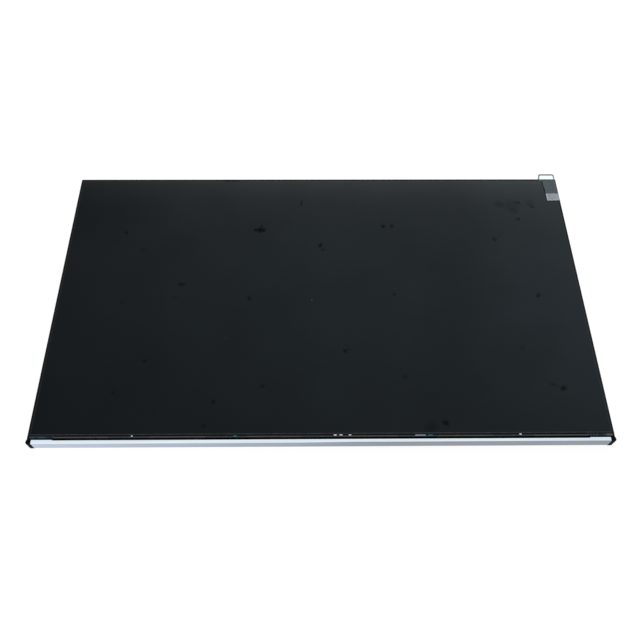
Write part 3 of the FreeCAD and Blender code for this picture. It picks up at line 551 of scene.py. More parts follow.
def wired_glass():
    """Float glass with metal wiring deposited on it, bare at the ledge."""
    # Blue-grey between the driver films, navy with fine pale lines past the outer ones, and grey metal at
    # both ends, duller at the left one
    colours = bpy.context.scene.panel_colours
    material, tree = new_finish("metal_wired_glass")
    # The lines are near 0.03 mm apart and are drawn 2.4 mm apart so that they show
    lines = stripes(tree, "X", 2.4, turn=30.0)
    groups = patches(tree, 5.0, -0.3, 1.0)
    wired = add_node(tree, "ShaderNodeMath", {0: lines, 1: groups}, operation="MULTIPLY", use_clamp=True)
    fan = painted(tree, colours.glass_ledge, (wired.outputs[0], colours.wiring))
    spot = add_node(tree, "ShaderNodeTexCoord").outputs["Object"]
    across = add_node(tree, "ShaderNodeSeparateXYZ", {0: spot}).outputs["X"]
    span = add_node(tree, "ShaderNodeMath", {0: across}, operation="ABSOLUTE").outputs[0]
    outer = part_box(DRIVER_FILMS[-1])[1].x
    past = {"Value": span, "From Min": outer - mm(1), "From Max": outer}
    ends = add_node(tree, "ShaderNodeMapRange", past).outputs[0]
    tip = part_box("array_glass")[1].x - mm(5)
    bright = along(tree, "X", -tip, tip, 0.25, 1.0)
    last = {"Value": span, "From Min": tip - mm(1), "From Max": tip, "To Max": bright}
    metal = add_node(tree, "ShaderNodeMapRange", last).outputs[0]
    tone = painted(tree, colours.glass_wired, (ends, fan), (metal, colours.glass_end))
    end_finish(tree, {"Base Color": tone, "Roughness": 0.15, "IOR": 1.52, "Specular IOR Level": 0.1})
    return material


def sealant():
    """Black silicone sealant, smoothed wet."""
    # Soft black with a dull skin
    return mottled("black_silicone", linear("#070809"), 0.5, 2.0, specular=0.04)


def foam_tape():
    """Black polyurethane foam tape, slit from sheet."""
    # Dead black with open pores
    return mottled("polyurethane_foam", linear("#101112"), 0.95, 0.6, 0.3, specular=0.1)


def silver_paste():
    """Silver-filled epoxy paste, dabbed on and cured."""
    # Bright satin grey with a grainy skin
    return mottled("silver_filled_epoxy", linear("#dfe6ea"), 0.4, 0.5, 0.1, metallic=0.6)


def tarnished_paste():
    """Silver-filled epoxy paste that has tarnished in the gaps between the driver films."""
    # Dull slate grey, grainy and hardly metallic
    return mottled("tarnished_silver_epoxy", linear("#4a5157"), 0.5, 0.5, metallic=0.4)


def tinned_strip():
    """Copper strip, tinned by dipping."""
    # Blue-grey satin with a faint ripple
    return mottled("dip_tinned_copper", linear("#8694a0"), 0.4, 1.5, 0.1, metallic=1.0)


def teal_glint():
    """Teal dabs over the ledge's metal marks, whose teal is a painted glint."""
    # Glassy blue-green, a painted glint of the metal marks
    return mottled("painted_teal_glint", linear("#1c7892"), 0.2, 0.8, 0.15, specular=0.3)


def clear_tab():
    """Clear cast polypropylene tab, die cut."""
    # Colourless where the floor shows through, and grey-blue sheen over the black screen
    colours = bpy.context.scene.panel_colours
    material, tree = new_finish("cast_polypropylene")
    gloss = patches(tree, 5.0, 0.06, 0.14)
    end_finish(tree, {
        "Base Color": colours.tab, "Roughness": gloss, "IOR": 1.49, "Transmission Weight": 1.0,
        "Specular Tint": colours.tab_sheen,
    })
    return material


def frosted_edge():
    """Polypropylene frosted by the die along the cut."""
    # Grey translucent line round the tab's head
    colours = bpy.context.scene.panel_colours
    return mottled("frosted_polypropylene", colours.tab_edge, 0.6, 1.0, 0.08, specular=0.2)


def tab_adhesive():
    """Acrylic adhesive strip with a paper-grey carrier."""
    # Pale grey with faint wrinkles where it was pressed down, and lighter along its edges
    colours = bpy.context.scene.panel_colours
    material, tree = new_finish("acrylic_tape")
    turn = bpy.context.scene.panel_sizes.tab_turn
    reach = past_sides(tree, *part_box("pull_tab_tape"), tab_pivot(), turn)
    rim = {"Value": reach, "From Min": -mm(1.6), "From Max": -mm(0.6), "To Min": 1.0, "To Max": 1.3}
    edge = add_node(tree, "ShaderNodeMapRange", rim).outputs[0]
    wrinkle = patches(tree, 3.0, 0.9, 1.08)
    tone = painted(tree, colours.tab_adhesive[:3], edge, wrinkle)
    end_finish(tree, {"Base Color": tone, "Roughness": 0.5, "Specular IOR Level": 0.3})
    return material


def black_moulding():
    """Black glass-filled polycarbonate, moulded with a fine spark texture."""
    # Dense black with hardly any shine, and charcoal on the top of the rim, a painted sheen that fades
    # toward the left
    colours = bpy.context.scene.panel_colours
    material, tree = new_finish("moulded_polycarbonate")
    low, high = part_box("middle_frame")
    # Painted sheen on the rim's top, with painted shade toward the left
    drift = along(tree, "X", low.x, mm(100), 0.5, 1.0)
    rim_sheen = along(tree, "Z", high.z - mm(0.3), high.z - mm(0.1), 0.0, drift)
    dull = mark_mask(tree, RIM_MARKS, high.z)
    spark = patches(tree, 0.8, 0.85, 1.15)
    tone = painted(tree, colours.moulding, (rim_sheen, colours.moulding_rim_sheen), (dull, colours.moulding), spark)
    end_finish(tree, {"Base Color": tone, "Roughness": 0.6, "Specular IOR Level": 0.02})
    return material


def bracket_zinc():
    """Zinc-coated steel, rolled and folded, with a painted highlight on its flange."""
    # Painted light: a near-white flange lit from above with brighter streaks, over a blue-grey wall; fine
    # lengthwise lines and nicks
    colours = bpy.context.scene.panel_colours
    material, tree = new_finish("rolled_zinc_coated_steel")
    low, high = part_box("foot_bracket")
    # Painted reflection and shade: the wall is duller toward the right, and its blue cast fades past the
    # middle
    fade = along(tree, "X", mm(10), mm(60), 1.0, 0.45)
    cast = along(tree, "Y", low.y + mm(4), low.y + mm(1), 0.0, fade)
    drift = along(tree, "X", low.x, mm(30), 1.0, 0.545)
    # Rolling lines are near 0.05 mm apart and are drawn 0.6 mm apart so that they show
    lines = patches(tree, 0.6, 0.92, 1.06, (90.0, 1.0, 1.0))
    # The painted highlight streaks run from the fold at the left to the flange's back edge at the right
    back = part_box("array_glass")[0].y
    track = add_node(tree, "ShaderNodeMath", {
        0: along(tree, "Y", low.y, back, -0.45, 0.45),
        1: along(tree, "X", low.x, high.x, -1.0, 1.0),
        2: patches(tree, 1.2, 0.1, 0.7, (60.0, 1.0, 1.0)),
    }, operation="MULTIPLY_ADD", use_clamp=True).outputs[0]
    bright = painted(tree, colours.zinc_flange_highlight, (track, colours.zinc_highlight_streak))
    # The painted highlight of the flange stops short of the fold past the middle
    start = along(tree, "X", -mm(65), mm(30), low.y - mm(0.3), low.y + mm(0.3))
    full = along(tree, "X", -mm(65), mm(30), low.y, low.y + mm(0.6))
    reach = along(tree, "Y", start, full)
    flange_light = along(tree, "Z", high.z - mm(0.9), high.z - mm(0.3), 0.0, reach)
    nicks = specks(tree, 22.0, 1.0)
    tone = painted(
        tree, colours.zinc_sheet, (cast, colours.zinc_wall_reflection), drift, lines,
        (flange_light, bright), (nicks, colours.zinc_nick),
    )
    gloss = patches(tree, 4.0, 0.36, 0.46, (12.0, 1.0, 1.0))
    end_finish(tree, {"Base Color": tone, "Roughness": gloss, "Metallic": 1.0})
    return material


def plated_zinc():
    """Electroplated zinc on deep-drawn steel sheet."""
    # Even satin grey with a faint cloud and lines from rolling
    colours = bpy.context.scene.panel_colours
    material, tree = new_finish("electroplated_zinc_steel")
    cloud = patches(tree, 25.0, 0.95, 1.05)
    # Rolling lines are near 0.05 mm apart and are drawn 0.7 mm apart so that they show
    lines = patches(tree, 0.7, 0.95, 1.04, (60.0, 1.0, 1.0))
    tone = painted(tree, colours.zinc_sheet[:3], cloud, lines)
    gloss = patches(tree, 10.0, 0.34, 0.44)
    end_finish(tree, {"Base Color": tone, "Roughness": gloss, "Metallic": 1.0})
    return material


def screw_steel():
    """Nickel-plated steel, cold headed."""
    # Warm bright grey with fine turning marks
    return mottled("nickel_plated_steel", linear("#b6b3ac"), 0.3, 0.4, 0.08, metallic=1.0)


def driver_polyimide():
    """Polyimide film with etched and tinned copper tracks."""
    # Grey-brown film with fine lines on the glass, and black where it bends away, a painted shade of the gap
    # below the ledge
    colours = bpy.context.scene.panel_colours
    material, tree = new_finish("tracked_polyimide")
    # Tracks are near 0.06 mm apart and are drawn 1.3 mm apart so that they show
    tracks = {0: stripes(tree, "X", 1.3), 1: patches(tree, 6.0, 0.4, 1.0)}
    shown = add_node(tree, "ShaderNodeMath", tracks, operation="MULTIPLY").outputs[0]
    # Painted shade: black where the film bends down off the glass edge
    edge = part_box("array_glass")[0].y
    resist = along(tree, "Y", edge + mm(0.15), edge)
    tone = painted(tree, colours.driver_film, (shown, colours.driver_track), (resist, colours.driver_bend_shade))
    end_finish(tree, {"Base Color": tone, "Roughness": 0.6, "Specular IOR Level": 0.08})
    return material


def chip_silicon():
    """Silicon driver chip with a ground back."""
    # Dark slate with a soft mirror sheen
    return mottled("ground_silicon", linear("#2a2c30"), 0.25, 1.0, specular=0.4)


def epoxy_package():
    """Black filled epoxy package, transfer moulded."""
    # Charcoal with a fine matte skin
    return mottled("moulded_epoxy", linear("#17181a"), 0.6, 0.8, specular=0.3)


def masked_board():
    """Glass-epoxy board under green solder mask."""
    # Deep green with lighter runs of copper under the mask
    colours = bpy.context.scene.panel_colours
    material, tree = new_finish("green_solder_mask")
    runs = {0: stripes(tree, "Y", 1.6), 1: patches(tree, 9.0, -0.4, 1.2, (3.0, 1.0, 1.0))}
    copper = add_node(tree, "ShaderNodeMath", runs, operation="MULTIPLY", use_clamp=True).outputs[0]
    tone = painted(tree, colours.board, (copper, colours.board_track))
    end_finish(tree, {"Base Color": tone, "Roughness": 0.32, "IOR": 1.5})
    return material


def black_insulator():
    """Black polyester insulating sheet."""
    # Smooth black with a plastic gloss
    return mottled("black_polyester", linear("#141517"), 0.35, 10.0, specular=0.3)


def ferrite():
    """Pressed ferrite of the inductors."""
    # Dull dark grey, slightly sandy
    return mottled("pressed_ferrite", linear("#3d3e40"), 0.75, 0.5, 0.2)


def capacitor_ceramic():
    """Fired ceramic of the chip capacitors."""
    # Dry tan
    return mottled("fired_ceramic", linear("#a4825a"), 0.55, 0.4)


def black_nylon():
    """Black glass-filled nylon of the video socket."""
    # Charcoal with a silky mould skin
    return mottled("moulded_nylon_black", linear("#1c1d1f"), 0.5, 0.6, specular=0.3)


def ivory_nylon():
    """Natural nylon of the small sockets."""
    # Milky ivory
    return mottled("moulded_nylon_ivory", linear("#d9d2bf"), 0.45, 0.8, 0.06)


def shell_steel():
    """Tin-plated steel shell, stamped."""
    # Bright grey with a slight cloud
    return mottled("tin_plated_steel", linear("#c3c5c7"), 0.3, 2.0, 0.06, metallic=1.0)


def contact_gold():
    """Gold-flashed bronze contacts."""
    # Small warm yellow glints
    return mottled("gold_flashed_bronze", linear("#d6a94f"), 0.25, 0.3, 0.06, metallic=1.0)


def white_sheet():
    """White polyester of the backlight sheets."""
    # Even soft white
    return mottled("white_polyester", linear("#eceded"), 0.5, 20.0, 0.03)


def guide_acrylic():
    """Cast acrylic light guide, polished at its edges."""
    # Clear with a cool tint
    clear = {"Transmission Weight": 0.9, "IOR": 1.49}
    return mottled("cast_acrylic", linear("#e9f2f2"), 0.08, 25.0, 0.03, **clear)


def grey_rubber():
    """Moulded silicone rubber pads."""
    # Matte mid grey
    return mottled("silicone_rubber", linear("#77797b"), 0.8, 0.8)


def lamp_phosphor():
    """White lamp packages with a yellow phosphor fill."""
    # Pale cream
    return mottled("phosphor_lamp", linear("#efe7b9"), 0.4, 1.2, 0.05)


def lamp_board_white():
    """Aluminium lamp board under white solder mask."""
    # Clean white
    return mottled("white_solder_mask", linear("#e8e9e7"), 0.35, 6.0, 0.04)


def amber_flex():
    """Amber polyimide of the lamp board's tail."""
    # Honey brown, glossy
    return mottled("amber_polyimide", linear("#a0601f"), 0.3, 3.0)


def ring_mesh(bm, rings):
    """Skin over rings of points, closed at both ends."""
    loops = [[bm.verts.new(point) for point in ring] for ring in rings]
    for lower, upper in zip(loops, loops[1:]):
        for i, vert in enumerate(lower):
            nxt = (i + 1) % len(lower)
            bm.faces.new((vert, lower[nxt], upper[nxt], upper[i]))
    bm.faces.new(reversed(loops[0]))
    bm.faces.new(loops[-1])


def circle(centre, r, steps):
    """Points round a circle."""
    turns = [2 * math.pi * i / steps for i in range(steps)]
    return [(centre[0] + r * math.cos(t), centre[1] + r * math.sin(t)) for t in turns]


def arc(centre, r, start, end, steps=8):
    """Points along an arc between two angles in degrees."""
    turns = [math.radians(start + (end - start) * i / steps) for i in range(steps + 1)]
    return [(centre[0] + r * math.cos(t), centre[1] + r * math.sin(t)) for t in turns]


def new_piece(name, bm, slot, *materials, smooth=True):
    """Object from a mesh under construction, riding on the panel."""
    if all(edge.is_manifold for edge in bm.edges):
        bmesh.ops.recalc_face_normals(bm, faces=bm.faces)
    mesh = bpy.data.meshes.new(name)
    bm.to_mesh(mesh)
    bm.free()
    for material in materials:
        mesh.materials.append(material)
    for polygon in mesh.polygons:
        polygon.use_smooth = smooth
    piece = bpy.data.objects.new(name, mesh)
    bpy.context.scene.collection.objects.link(piece)
    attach(piece, "root")
    return piece


def add_dab(bm, x, y, z, long, wide, height):
    """Low round-topped dab with a slightly uneven outline, squarer the longer it is."""
    power = min(1.0, SQUARE_DAB * wide / long)
    outline = []
    for i, point in enumerate(circle((0.0, 0.0), 1.0, DAB_STEPS)):
        # Two small waves round the dab, and x sets where one of them starts
        uneven = 1 + 0.07 * math.sin(2.1 * i + 900 * x) + 0.05 * math.sin(2.25 * i)
        outline.append([math.copysign(abs(c) ** power, c) * uneven for c in point])
    rings = []
    for share, rise in DAB_PROFILE:
        half_x, half_y = share * long / 2, share * wide / 2
        rings.append([(x + px * half_x, y + py * half_y, z + height * rise) for px, py in outline])
    ring_mesh(bm, rings)


def lap_line():
    """Middle along Y of what laps from the ledge onto the sealant bead, and the ledge's height."""
    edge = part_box("ledge_seal")[0].y
    return edge - bpy.context.scene.panel_sizes.lap_back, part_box("array_glass")[1].z


def bead_line():
    """Middle of the sealant bead along Y, and the height of its slope there."""
    low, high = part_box("ledge_seal")
    return (low.y + high.y) / 2, (low.z + high.z) / 2


def driver_film_top(x):
    """Height of the driver film that covers the ledge at x or within 1 mm of it, or zero."""
    for name in DRIVER_FILMS:
        low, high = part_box(name)
        if low.x - mm(1) < x < high.x + mm(1):
            return high.z
    return 0.0


def add_dabs(name, dabs, line, height, slot, material):
    """Piece of dabs along a line of the part, where the picture shows them."""
    y, z = line
    bm = bmesh.new()
    for pixel_x, long, wide in dabs:
        x = on_level(pixel_x, PICTURE_PIXELS * LEDGE_PIXEL_SHARE, z).x
        add_dab(bm, x, y, max(z, driver_film_top(x)), mm(long), mm(wide), height)
    new_piece(name, bm, slot, material)


class PANEL_OT_screen(bpy.types.Operator):
    """Finishes the film and the polariser on the screen"""

    bl_idname = "panel.screen"
    bl_label = "Screen"

    def execute(self, context):
        dress(masking_film(), "protective_film")
        dress(matte_polariser(), "front_polariser", "rear_polariser")
        return {"FINISHED"}


class PANEL_OT_glass(bpy.types.Operator):
    """Finishes both glass plates, the seal and the paste on the ledge"""

    bl_idname = "panel.glass"
    bl_label = "Glass and ledge"

    def execute(self, context):
        dress(bordered_glass(), "filter_glass")
        dress(wired_glass(), "array_glass")
        dress(sealant(), "ledge_seal")
        dress(foam_tape(), "cell_tape")
        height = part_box("paste_pads")[1].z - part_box("array_glass")[1].z
        lap_height = context.scene.panel_sizes.lap_height
        add_dabs("paste_dabs", BEAD_DABS, bead_line(), height, "silver_paste", silver_paste())
        add_dabs("tinned_strip", LEDGE_STRIPS, lap_line(), lap_height, "silver_paste", tinned_strip())
        # Painted glint: teal dabs over the ledge's metal marks
        add_dabs("teal_glint_dabs", TEAL_GLINT_DABS, lap_line(), lap_height, "panel_glass", teal_glint())
        self.ground_dabs(height)
        return {"FINISHED"}

    def ground_dabs(self, height):
        """Grounding dabs in the gaps between the driver films, in the place of their plain pads."""
        low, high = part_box("paste_pads")
        wide = high.y - low.y
        bm = bmesh.new()
        for before, after in zip(DRIVER_FILMS, DRIVER_FILMS[1:]):
            x = (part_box(before)[1].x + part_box(after)[0].x) / 2
            add_dab(bm, x, (low.y + high.y) / 2, low.z, wide * GROUND_DAB_LENGTH, wide, height)
        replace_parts(new_piece("ground_dabs", bm, "silver_paste", tarnished_paste()), "paste_pads")


class PANEL_OT_pull_tab(bpy.types.Operator):
    """Builds the clear pull tab with its frosted rim, and its adhesive strip"""

    bl_idname = "panel.pull_tab"
    bl_label = "Pull tab"

    def execute(self, context):
        sizes = context.scene.panel_sizes
        low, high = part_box("pull_tab")
        top_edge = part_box("middle_frame")[1].y
        bm = bmesh.new()
        verts = [bm.verts.new((x, y, high.z)) for x, y in self.outline(sizes, low, high, top_edge)]
        field = bm.faces.new(verts)
        bm.normal_update()
        inset = bmesh.ops.inset_region(bm, faces=[field], thickness=sizes.tab_rim, use_boundary=True)
        for face in inset["faces"]:
            face.material_index = 1 if face.calc_center_median().y > top_edge else 0
        for vert in field.verts:
            vert.co.z -= sizes.tab_dish
            out = max(0.0, vert.co.y - top_edge) / (high.y - sizes.tab_rim - top_edge)
            vert.co.y -= (sizes.tab_far_rim - sizes.tab_rim) * out
        tab = new_piece("pull_tab_film", bm, "tab_film", clear_tab(), frosted_edge(), smooth=False)
        thick = tab.modifiers.new("film thickness", "SOLIDIFY")
        thick.thickness = high.z - low.z - 2 * sizes.tab_dish
        thick.offset = -1
        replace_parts(tab, "pull_tab")
        self.add_strip(sizes, low, high)
        return {"FINISHED"}

    def foot(self, sizes, low):
        """Left and right corner of the neck's foot."""
        pivot = tab_pivot()
        corners = []
        for x in (-sizes.tab_neck, sizes.tab_foot - sizes.tab_neck):
            offset = Vector((x, low.y - pivot.y, 0.0))
            offset.rotate(Euler((0.0, 0.0, sizes.tab_turn)))
            corners.append((pivot + offset)[:2])
        return corners

    def outline(self, sizes, low, high, top_edge):
        """Neck with square corners and head with round ones."""
        r = sizes.tab_corner
        neck_top = tab_pivot().y
        points = self.foot(sizes, low) + [(high.x, top_edge)]
        points += arc((high.x - r, high.y - r), r, 0, 90)
        points += arc((low.x + r, high.y - r), r, 90, 180)
        points += arc((low.x - sizes.tab_lean + r, neck_top + r), r, 180, 270)
        return points + [(high.x - sizes.tab_neck, neck_top)]

    def add_strip(self, sizes, low, high):
        """Adhesive strip between the neck's edges, with a soft upper edge."""
        tape_low, tape_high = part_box("pull_tab_tape")
        pivot = tab_pivot()
        share = sizes.strip_length / (pivot.y - low.y)
        left, right = [Vector(corner) for corner in self.foot(sizes, low)]
        left_top = left.lerp(Vector((high.x - sizes.tab_neck, pivot.y)), share)
        right_top = right.lerp(pivot.xy, share)
        corners = (left, right, right_top, left_top)
        middle = sum(corners, Vector((0.0, 0.0))) / len(corners)
        rings = []
        for scale, rise in STRIP_PROFILE:
            z = tape_low.z + (tape_high.z - tape_low.z) * rise
            rings.append([(*(middle + (corner - middle) * scale), z) for corner in corners])
        bm = bmesh.new()
        ring_mesh(bm, rings)
        strip = new_piece("tab_adhesive_strip", bm, "tab_adhesive", tab_adhesive(), smooth=False)
        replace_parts(strip, "pull_tab_tape")


class PANEL_OT_frame(bpy.types.Operator):
    """Finishes the moulded frame"""

    bl_idname = "panel.frame"
    bl_label = "Moulded frame"

    def execute(self, context):
        dress(black_moulding(), "middle_frame")
        return {"FINISHED"}


class PANEL_OT_drivers(bpy.types.Operator):
    """Finishes the driver films and their chips"""

    bl_idname = "panel.drivers"
    bl_label = "Driver films"

    def execute(self, context):
        dress(driver_polyimide(), *DRIVER_FILMS)
        dress(chip_silicon(), *DRIVER_CHIPS)
        return {"FINISHED"}


class PANEL_OT_bracket(bpy.types.Operator):
    """Finishes the foot bracket and builds its screws"""

    bl_idname = "panel.bracket"
    bl_label = "Foot bracket"

    def execute(self, context):
        dress(bracket_zinc(), "foot_bracket")
        self.add_screws(context.scene.panel_sizes)
        return {"FINISHED"}

    def add_screws(self, sizes):
        """Pan-head screws with a cross recess, in the place of the plain ones."""
        low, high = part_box("bracket_screws")
        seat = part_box("foot_bracket")[0].z
        head_r = (high.y - low.y) / 2
        bm = bmesh.new()
        cutters = bmesh.new()
        for name in SCREW_FILMS:
            film_low, film_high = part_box(name)
            spot = ((film_low.x + film_high.x) / 2, (low.y + high.y) / 2)
            self.screw(bm, spot, head_r, low.z, seat, high.z)
            self.recess(cutters, spot, low.z, sizes)
        screws = new_piece("cross_recess_screws", bm, "screw_steel", screw_steel())
        self.cut(screws, cutters)
        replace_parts(screws, "bracket_screws")

    def screw(self, bm, spot, r, bottom, seat, tip):
        """Rounded head under the bracket and the shank above it."""
        tall = seat - bottom
        profile = [(share * r, bottom + rise * tall) for share, rise in HEAD_PROFILE]
        profile += [(SHANK_SHARE * r, seat), (SHANK_SHARE * r, tip - TIP_SHARE * tall), (TIP_SHARE * r, tip)]
        ring_mesh(bm, [[(*p, z) for p in circle(spot, radius, SCREW_STEPS)] for radius, z in profile])

    def recess(self, bm, spot, bottom, sizes):
        """Two crossed wedges that cut the recess."""
        over = mm(0.1)
        levels = ((1.0, 1.0, bottom - over), (*RECESS_FOOT, bottom + sizes.recess_depth))
        for turned in (False, True):
            rings = []
            for long_share, wide_share, z in levels:
                half_x = sizes.recess_length / 2 * long_share
                half_y = sizes.recess_width / 2 * wide_share
                if turned:
                    half_x, half_y = half_y, half_x
                corners = ((-1, -1), (1, -1), (1, 1), (-1, 1))
                rings.append([(spot[0] + a * half_x, spot[1] + b * half_y, z) for a, b in corners])
            ring_mesh(bm, rings)

    def cut(self, piece, cutters):
        """Takes the cutters' shape out of a piece."""
        bmesh.ops.recalc_face_normals(cutters, faces=cutters.faces)
        mesh = bpy.data.meshes.new("recess_cutters")
        cutters.to_mesh(mesh)
        cutters.free()
        tool = bpy.data.objects.new("recess_cutters", mesh)
        bpy.context.scene.collection.objects.link(tool)
        carve = piece.modifiers.new("recess", "BOOLEAN")
        carve.object = tool
        carve.operation = "DIFFERENCE"
        carve.solver = "EXACT"
        carve.use_self = True
        graph = bpy.context.evaluated_depsgraph_get()
        carved = bpy.data.meshes.new_from_object(piece.evaluated_get(graph))
        piece.modifiers.clear()
        piece.data = carved
        bpy.data.objects.remove(tool)


class PANEL_OT_back(bpy.types.Operator):
    """Finishes the pressed back cover and cuts its threads"""

    bl_idname = "panel.back"
    bl_label = "Back cover"

    def execute(self, context):
        zinc = plated_zinc()
        dress(zinc, "back_cover")
        sizes = context.scene.panel_sizes
        mounts = [m for m in frame["record"]["mounts"] if m["kind"] == "bolt_pattern"]
        dims = mounts[0]["dims"]
        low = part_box("back_cover")[0]
        bm = bmesh.new()
        for side in (-1, 1):
            for end in (-1, 1):
                hole = (side * mm(dims["spacing_x_mm"]) / 2, end * mm(dims["spacing_y_mm"]) / 2)
                self.thread(bm, hole, low.z, mm(dims["hole_r_mm"]), sizes)
        new_piece("mounting_threads", bm, "zinc_sheet", zinc)
        return {"FINISHED"}

    def thread(self, bm, hole, bottom, r, sizes):
        """Helical ridge on the wall of a tapped hole."""
        pitch = sizes.thread_pitch
        count = round(THREAD_STEPS * (sizes.thread_length / pitch - 1))
        foot = pitch * THREAD_FOOT
        sections = []
        for i in range(count + 1):
            turn = 2 * math.pi * i / THREAD_STEPS
            z = bottom + pitch / 2 + pitch * i / THREAD_STEPS
            section = []
            for out, height in ((r, z - foot), (r - sizes.thread_depth, z), (r, z + foot)):
                point = (hole[0] + out * math.cos(turn), hole[1] + out * math.sin(turn), height)
                section.append(bm.verts.new(point))
            sections.append(section)
        for first, second in zip(sections, sections[1:]):
            for i in range(3):
                nxt = (i + 1) % 3
                bm.faces.new((first[i], first[nxt], second[nxt], second[i]))
        bm.faces.new(sections[0])
        bm.faces.new(reversed(sections[-1]))


class PANEL_OT_board(bpy.types.Operator):
    """Finishes the source board, its parts and its sockets"""

    bl_idname = "panel.board"
    bl_label = "Source board"

    def execute(self, context):
        dress(masked_board(), "source_board")
        dress(black_insulator(), "board_insulator")
        dress(epoxy_package(), "timing_chip", "power_chip")
        dress(ferrite(), "inductors")
        dress(capacitor_ceramic(), "capacitors")
        dress(black_nylon(), "video_socket_body")
        dress(ivory_nylon(), "lamp_socket_body", "tail_socket")
        dress(shell_steel(), "video_socket_shell")
        dress(contact_gold(), "video_socket_contacts", "lamp_socket_pins")
        return {"FINISHED"}


class PANEL_OT_backlight(bpy.types.Operator):
    """Finishes the sheets, the light guide and the lamps"""

    bl_idname = "panel.backlight"
    bl_label = "Backlight"

    def execute(self, context):
        dress(white_sheet(), "brightness_sheet", "prism_sheet", "diffuser_sheet", "reflector_sheet")
        dress(guide_acrylic(), "light_guide")
        dress(grey_rubber(), "guide_pads", "lamp_tape")
        dress(lamp_phosphor(), "lamps")
        dress(lamp_board_white(), "lamp_board")
        dress(amber_flex(), "lamp_tail")
        return {"FINISHED"}


class PANEL_OT_stage(bpy.types.Operator):
    """Adds the floor, the lamps and the camera"""

    bl_idname = "panel.stage"
    bl_label = "Stage"

    def execute(self, context):
        settings = stage_settings()
        add_floor(settings)
        add_sky(settings)
        add_lamp("key_lamp", settings.key_place, settings.key_size, settings.key_watts)
        add_lamp("fill_lamp", settings.fill_place, settings.fill_size, settings.fill_watts)
        add_camera(settings)
        context.scene.view_settings.view_transform = "Standard"
        return {"FINISHED"}


def seen_directly(tree):
    """One for rays that show the background: from the camera, a gloss or a clear piece."""
    path = add_node(tree, "ShaderNodeLightPath").outputs
    seen = {0: path["Is Camera Ray"], 1: path["Is Glossy Ray"]}
    mirrored = add_node(tree, "ShaderNodeMath", seen, operation="MAXIMUM").outputs[0]
    clear = {0: mirrored, 1: path["Is Transmission Ray"]}
    return add_node(tree, "ShaderNodeMath", clear, operation="MAXIMUM").outputs[0]


def add_floor(settings):
    """White paper floor that shows the panel's shadow and lets the sky's light pass from below."""
    bm = bmesh.new()
    bmesh.ops.create_grid(bm, x_segments=FLOOR_CELLS, y_segments=FLOOR_CELLS, size=FLOOR_HALF)
    mesh = bpy.data.meshes.new("floor")
    bm.to_mesh(mesh)
    bm.free()
    floor = bpy.data.objects.new("floor", mesh)
    floor.location.z = CAD_BOX[0].z - mm(FLOOR_GAP_MM)
    bpy.context.scene.collection.objects.link(floor)
    material, tree = new_finish("white_paper")
    matt = add_node(tree, "ShaderNodeBsdfDiffuse", {"Color": settings.floor})
    white = {"Color": linear("#ffffff"), "Strength": settings.floor_glow}
    glow = add_node(tree, "ShaderNodeEmission", white)
    paper = add_node(tree, "ShaderNodeAddShader", {0: matt.outputs[0], 1: glow.outputs[0]})
    clear = add_node(tree, "ShaderNodeBsdfTransparent")
    below = add_node(tree, "ShaderNodeNewGeometry").outputs["Backfacing"]
    front = add_node(tree, "ShaderNodeMath", {0: 1.0, 1: below}, operation="SUBTRACT").outputs[0]
    shown = add_node(tree, "ShaderNodeMath", {0: seen_directly(tree), 1: front}, operation="MULTIPLY")
    mix = {0: shown.outputs[0], 1: clear.outputs[0], 2: paper.outputs[0]}
    surface = add_node(tree, "ShaderNodeMixShader", mix)
    add_node(tree, "ShaderNodeOutputMaterial", {"Surface": surface.outputs[0]})
    mesh.materials.append(material)


def add_sky(settings):
    """Even sky light, white where it is seen directly."""
    world = bpy.data.worlds.new("white_studio")
    world.use_nodes = True
    tree = world.node_tree
    tree.nodes.clear()
    level = {"Value": seen_directly(tree), "To Min": settings.sky, "To Max": 1.0}
    strength = add_node(tree, "ShaderNodeMapRange", level).outputs[0]
    sky = add_node(tree, "ShaderNodeBackground", {"Color": linear("#ffffff"), "Strength": strength})
    add_node(tree, "ShaderNodeOutputWorld", {"Surface": sky.outputs[0]})
    bpy.context.scene.world = world


def add_lamp(name, spot, size, watts):
    """Square soft lamp that points at the panel's middle and leaves no mirror image in it."""
    lamp = bpy.data.lights.new(name, "AREA")
    lamp.size = size
    lamp.energy = watts
    lamp_object = bpy.data.objects.new(name, lamp)
    lamp_object.location = spot
    lamp_object.visible_glossy = False
    lamp_object.visible_transmission = False
    lamp_object.rotation_euler = (-Vector(spot)).to_track_quat("-Z", "Y").to_euler()
    bpy.context.scene.collection.objects.link(lamp_object)


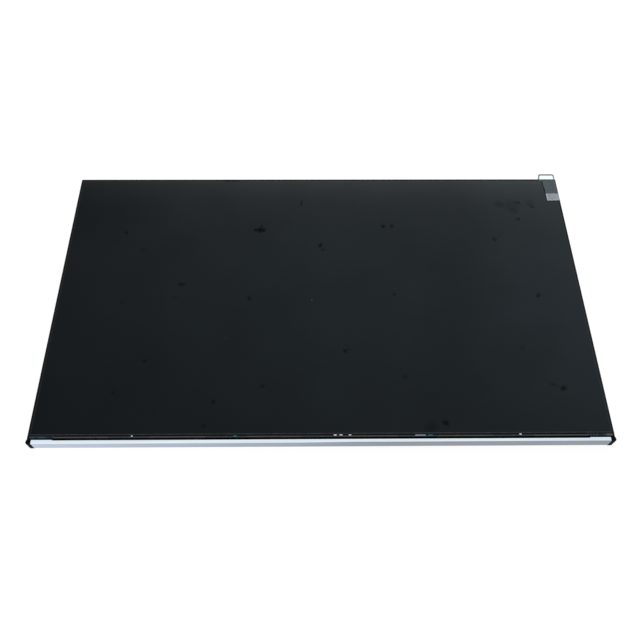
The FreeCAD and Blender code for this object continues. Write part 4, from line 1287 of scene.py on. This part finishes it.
def add_camera(settings):
    """Camera where the picture was taken from."""
    camera = bpy.data.cameras.new("camera")
    camera.sensor_width = SENSOR_MM
    camera.lens = settings.camera_lens
    camera_object = bpy.data.objects.new("camera", camera)
    camera_object.location = settings.camera_place
    camera_object.rotation_euler = settings.camera_turn
    bpy.context.scene.collection.objects.link(camera_object)
    bpy.context.scene.camera = camera_object


OPERATORS = (
    PANEL_OT_screen, PANEL_OT_glass, PANEL_OT_pull_tab, PANEL_OT_frame, PANEL_OT_drivers, PANEL_OT_bracket,
    PANEL_OT_back, PANEL_OT_board, PANEL_OT_backlight, PANEL_OT_stage,
)


class PANEL_PT_sidebar(bpy.types.Panel):
    """Lists the panel's pieces and their settings"""

    bl_idname = "PANEL_PT_sidebar"
    bl_label = "Screen panel"
    bl_space_type = "VIEW_3D"
    bl_region_type = "UI"
    bl_category = "Screen panel"

    def draw(self, context):
        for operator in OPERATORS:
            self.layout.operator(operator.bl_idname)
        for group in (context.scene.panel_colours, context.scene.panel_sizes, context.scene.panel_stage):
            box = self.layout.box()
            for name in group.__annotations__:
                box.prop(group, name)


GROUPS = (PanelColours, PanelSizes, StageSettings)
CLASSES = GROUPS + OPERATORS + (PANEL_PT_sidebar,)


def register():
    """Adds the settings, the operators and the panel."""
    for cls in CLASSES:
        bpy.utils.register_class(cls)
    bpy.types.Scene.panel_colours = bpy.props.PointerProperty(type=PanelColours)
    bpy.types.Scene.panel_sizes = bpy.props.PointerProperty(type=PanelSizes)
    bpy.types.Scene.panel_stage = bpy.props.PointerProperty(type=StageSettings)


def unregister():
    """Takes them away again."""
    del bpy.types.Scene.panel_stage
    del bpy.types.Scene.panel_sizes
    del bpy.types.Scene.panel_colours
    for cls in reversed(CLASSES):
        bpy.utils.unregister_class(cls)


def main():
    """Finishes the panel piece by piece."""
    register()
    bpy.ops.panel.screen()
    bpy.ops.panel.glass()
    bpy.ops.panel.pull_tab()
    bpy.ops.panel.frame()
    bpy.ops.panel.drivers()
    bpy.ops.panel.bracket()
    bpy.ops.panel.back()
    bpy.ops.panel.board()
    bpy.ops.panel.backlight()
    bpy.ops.panel.stage()


if __name__ == "__main__":
    main()
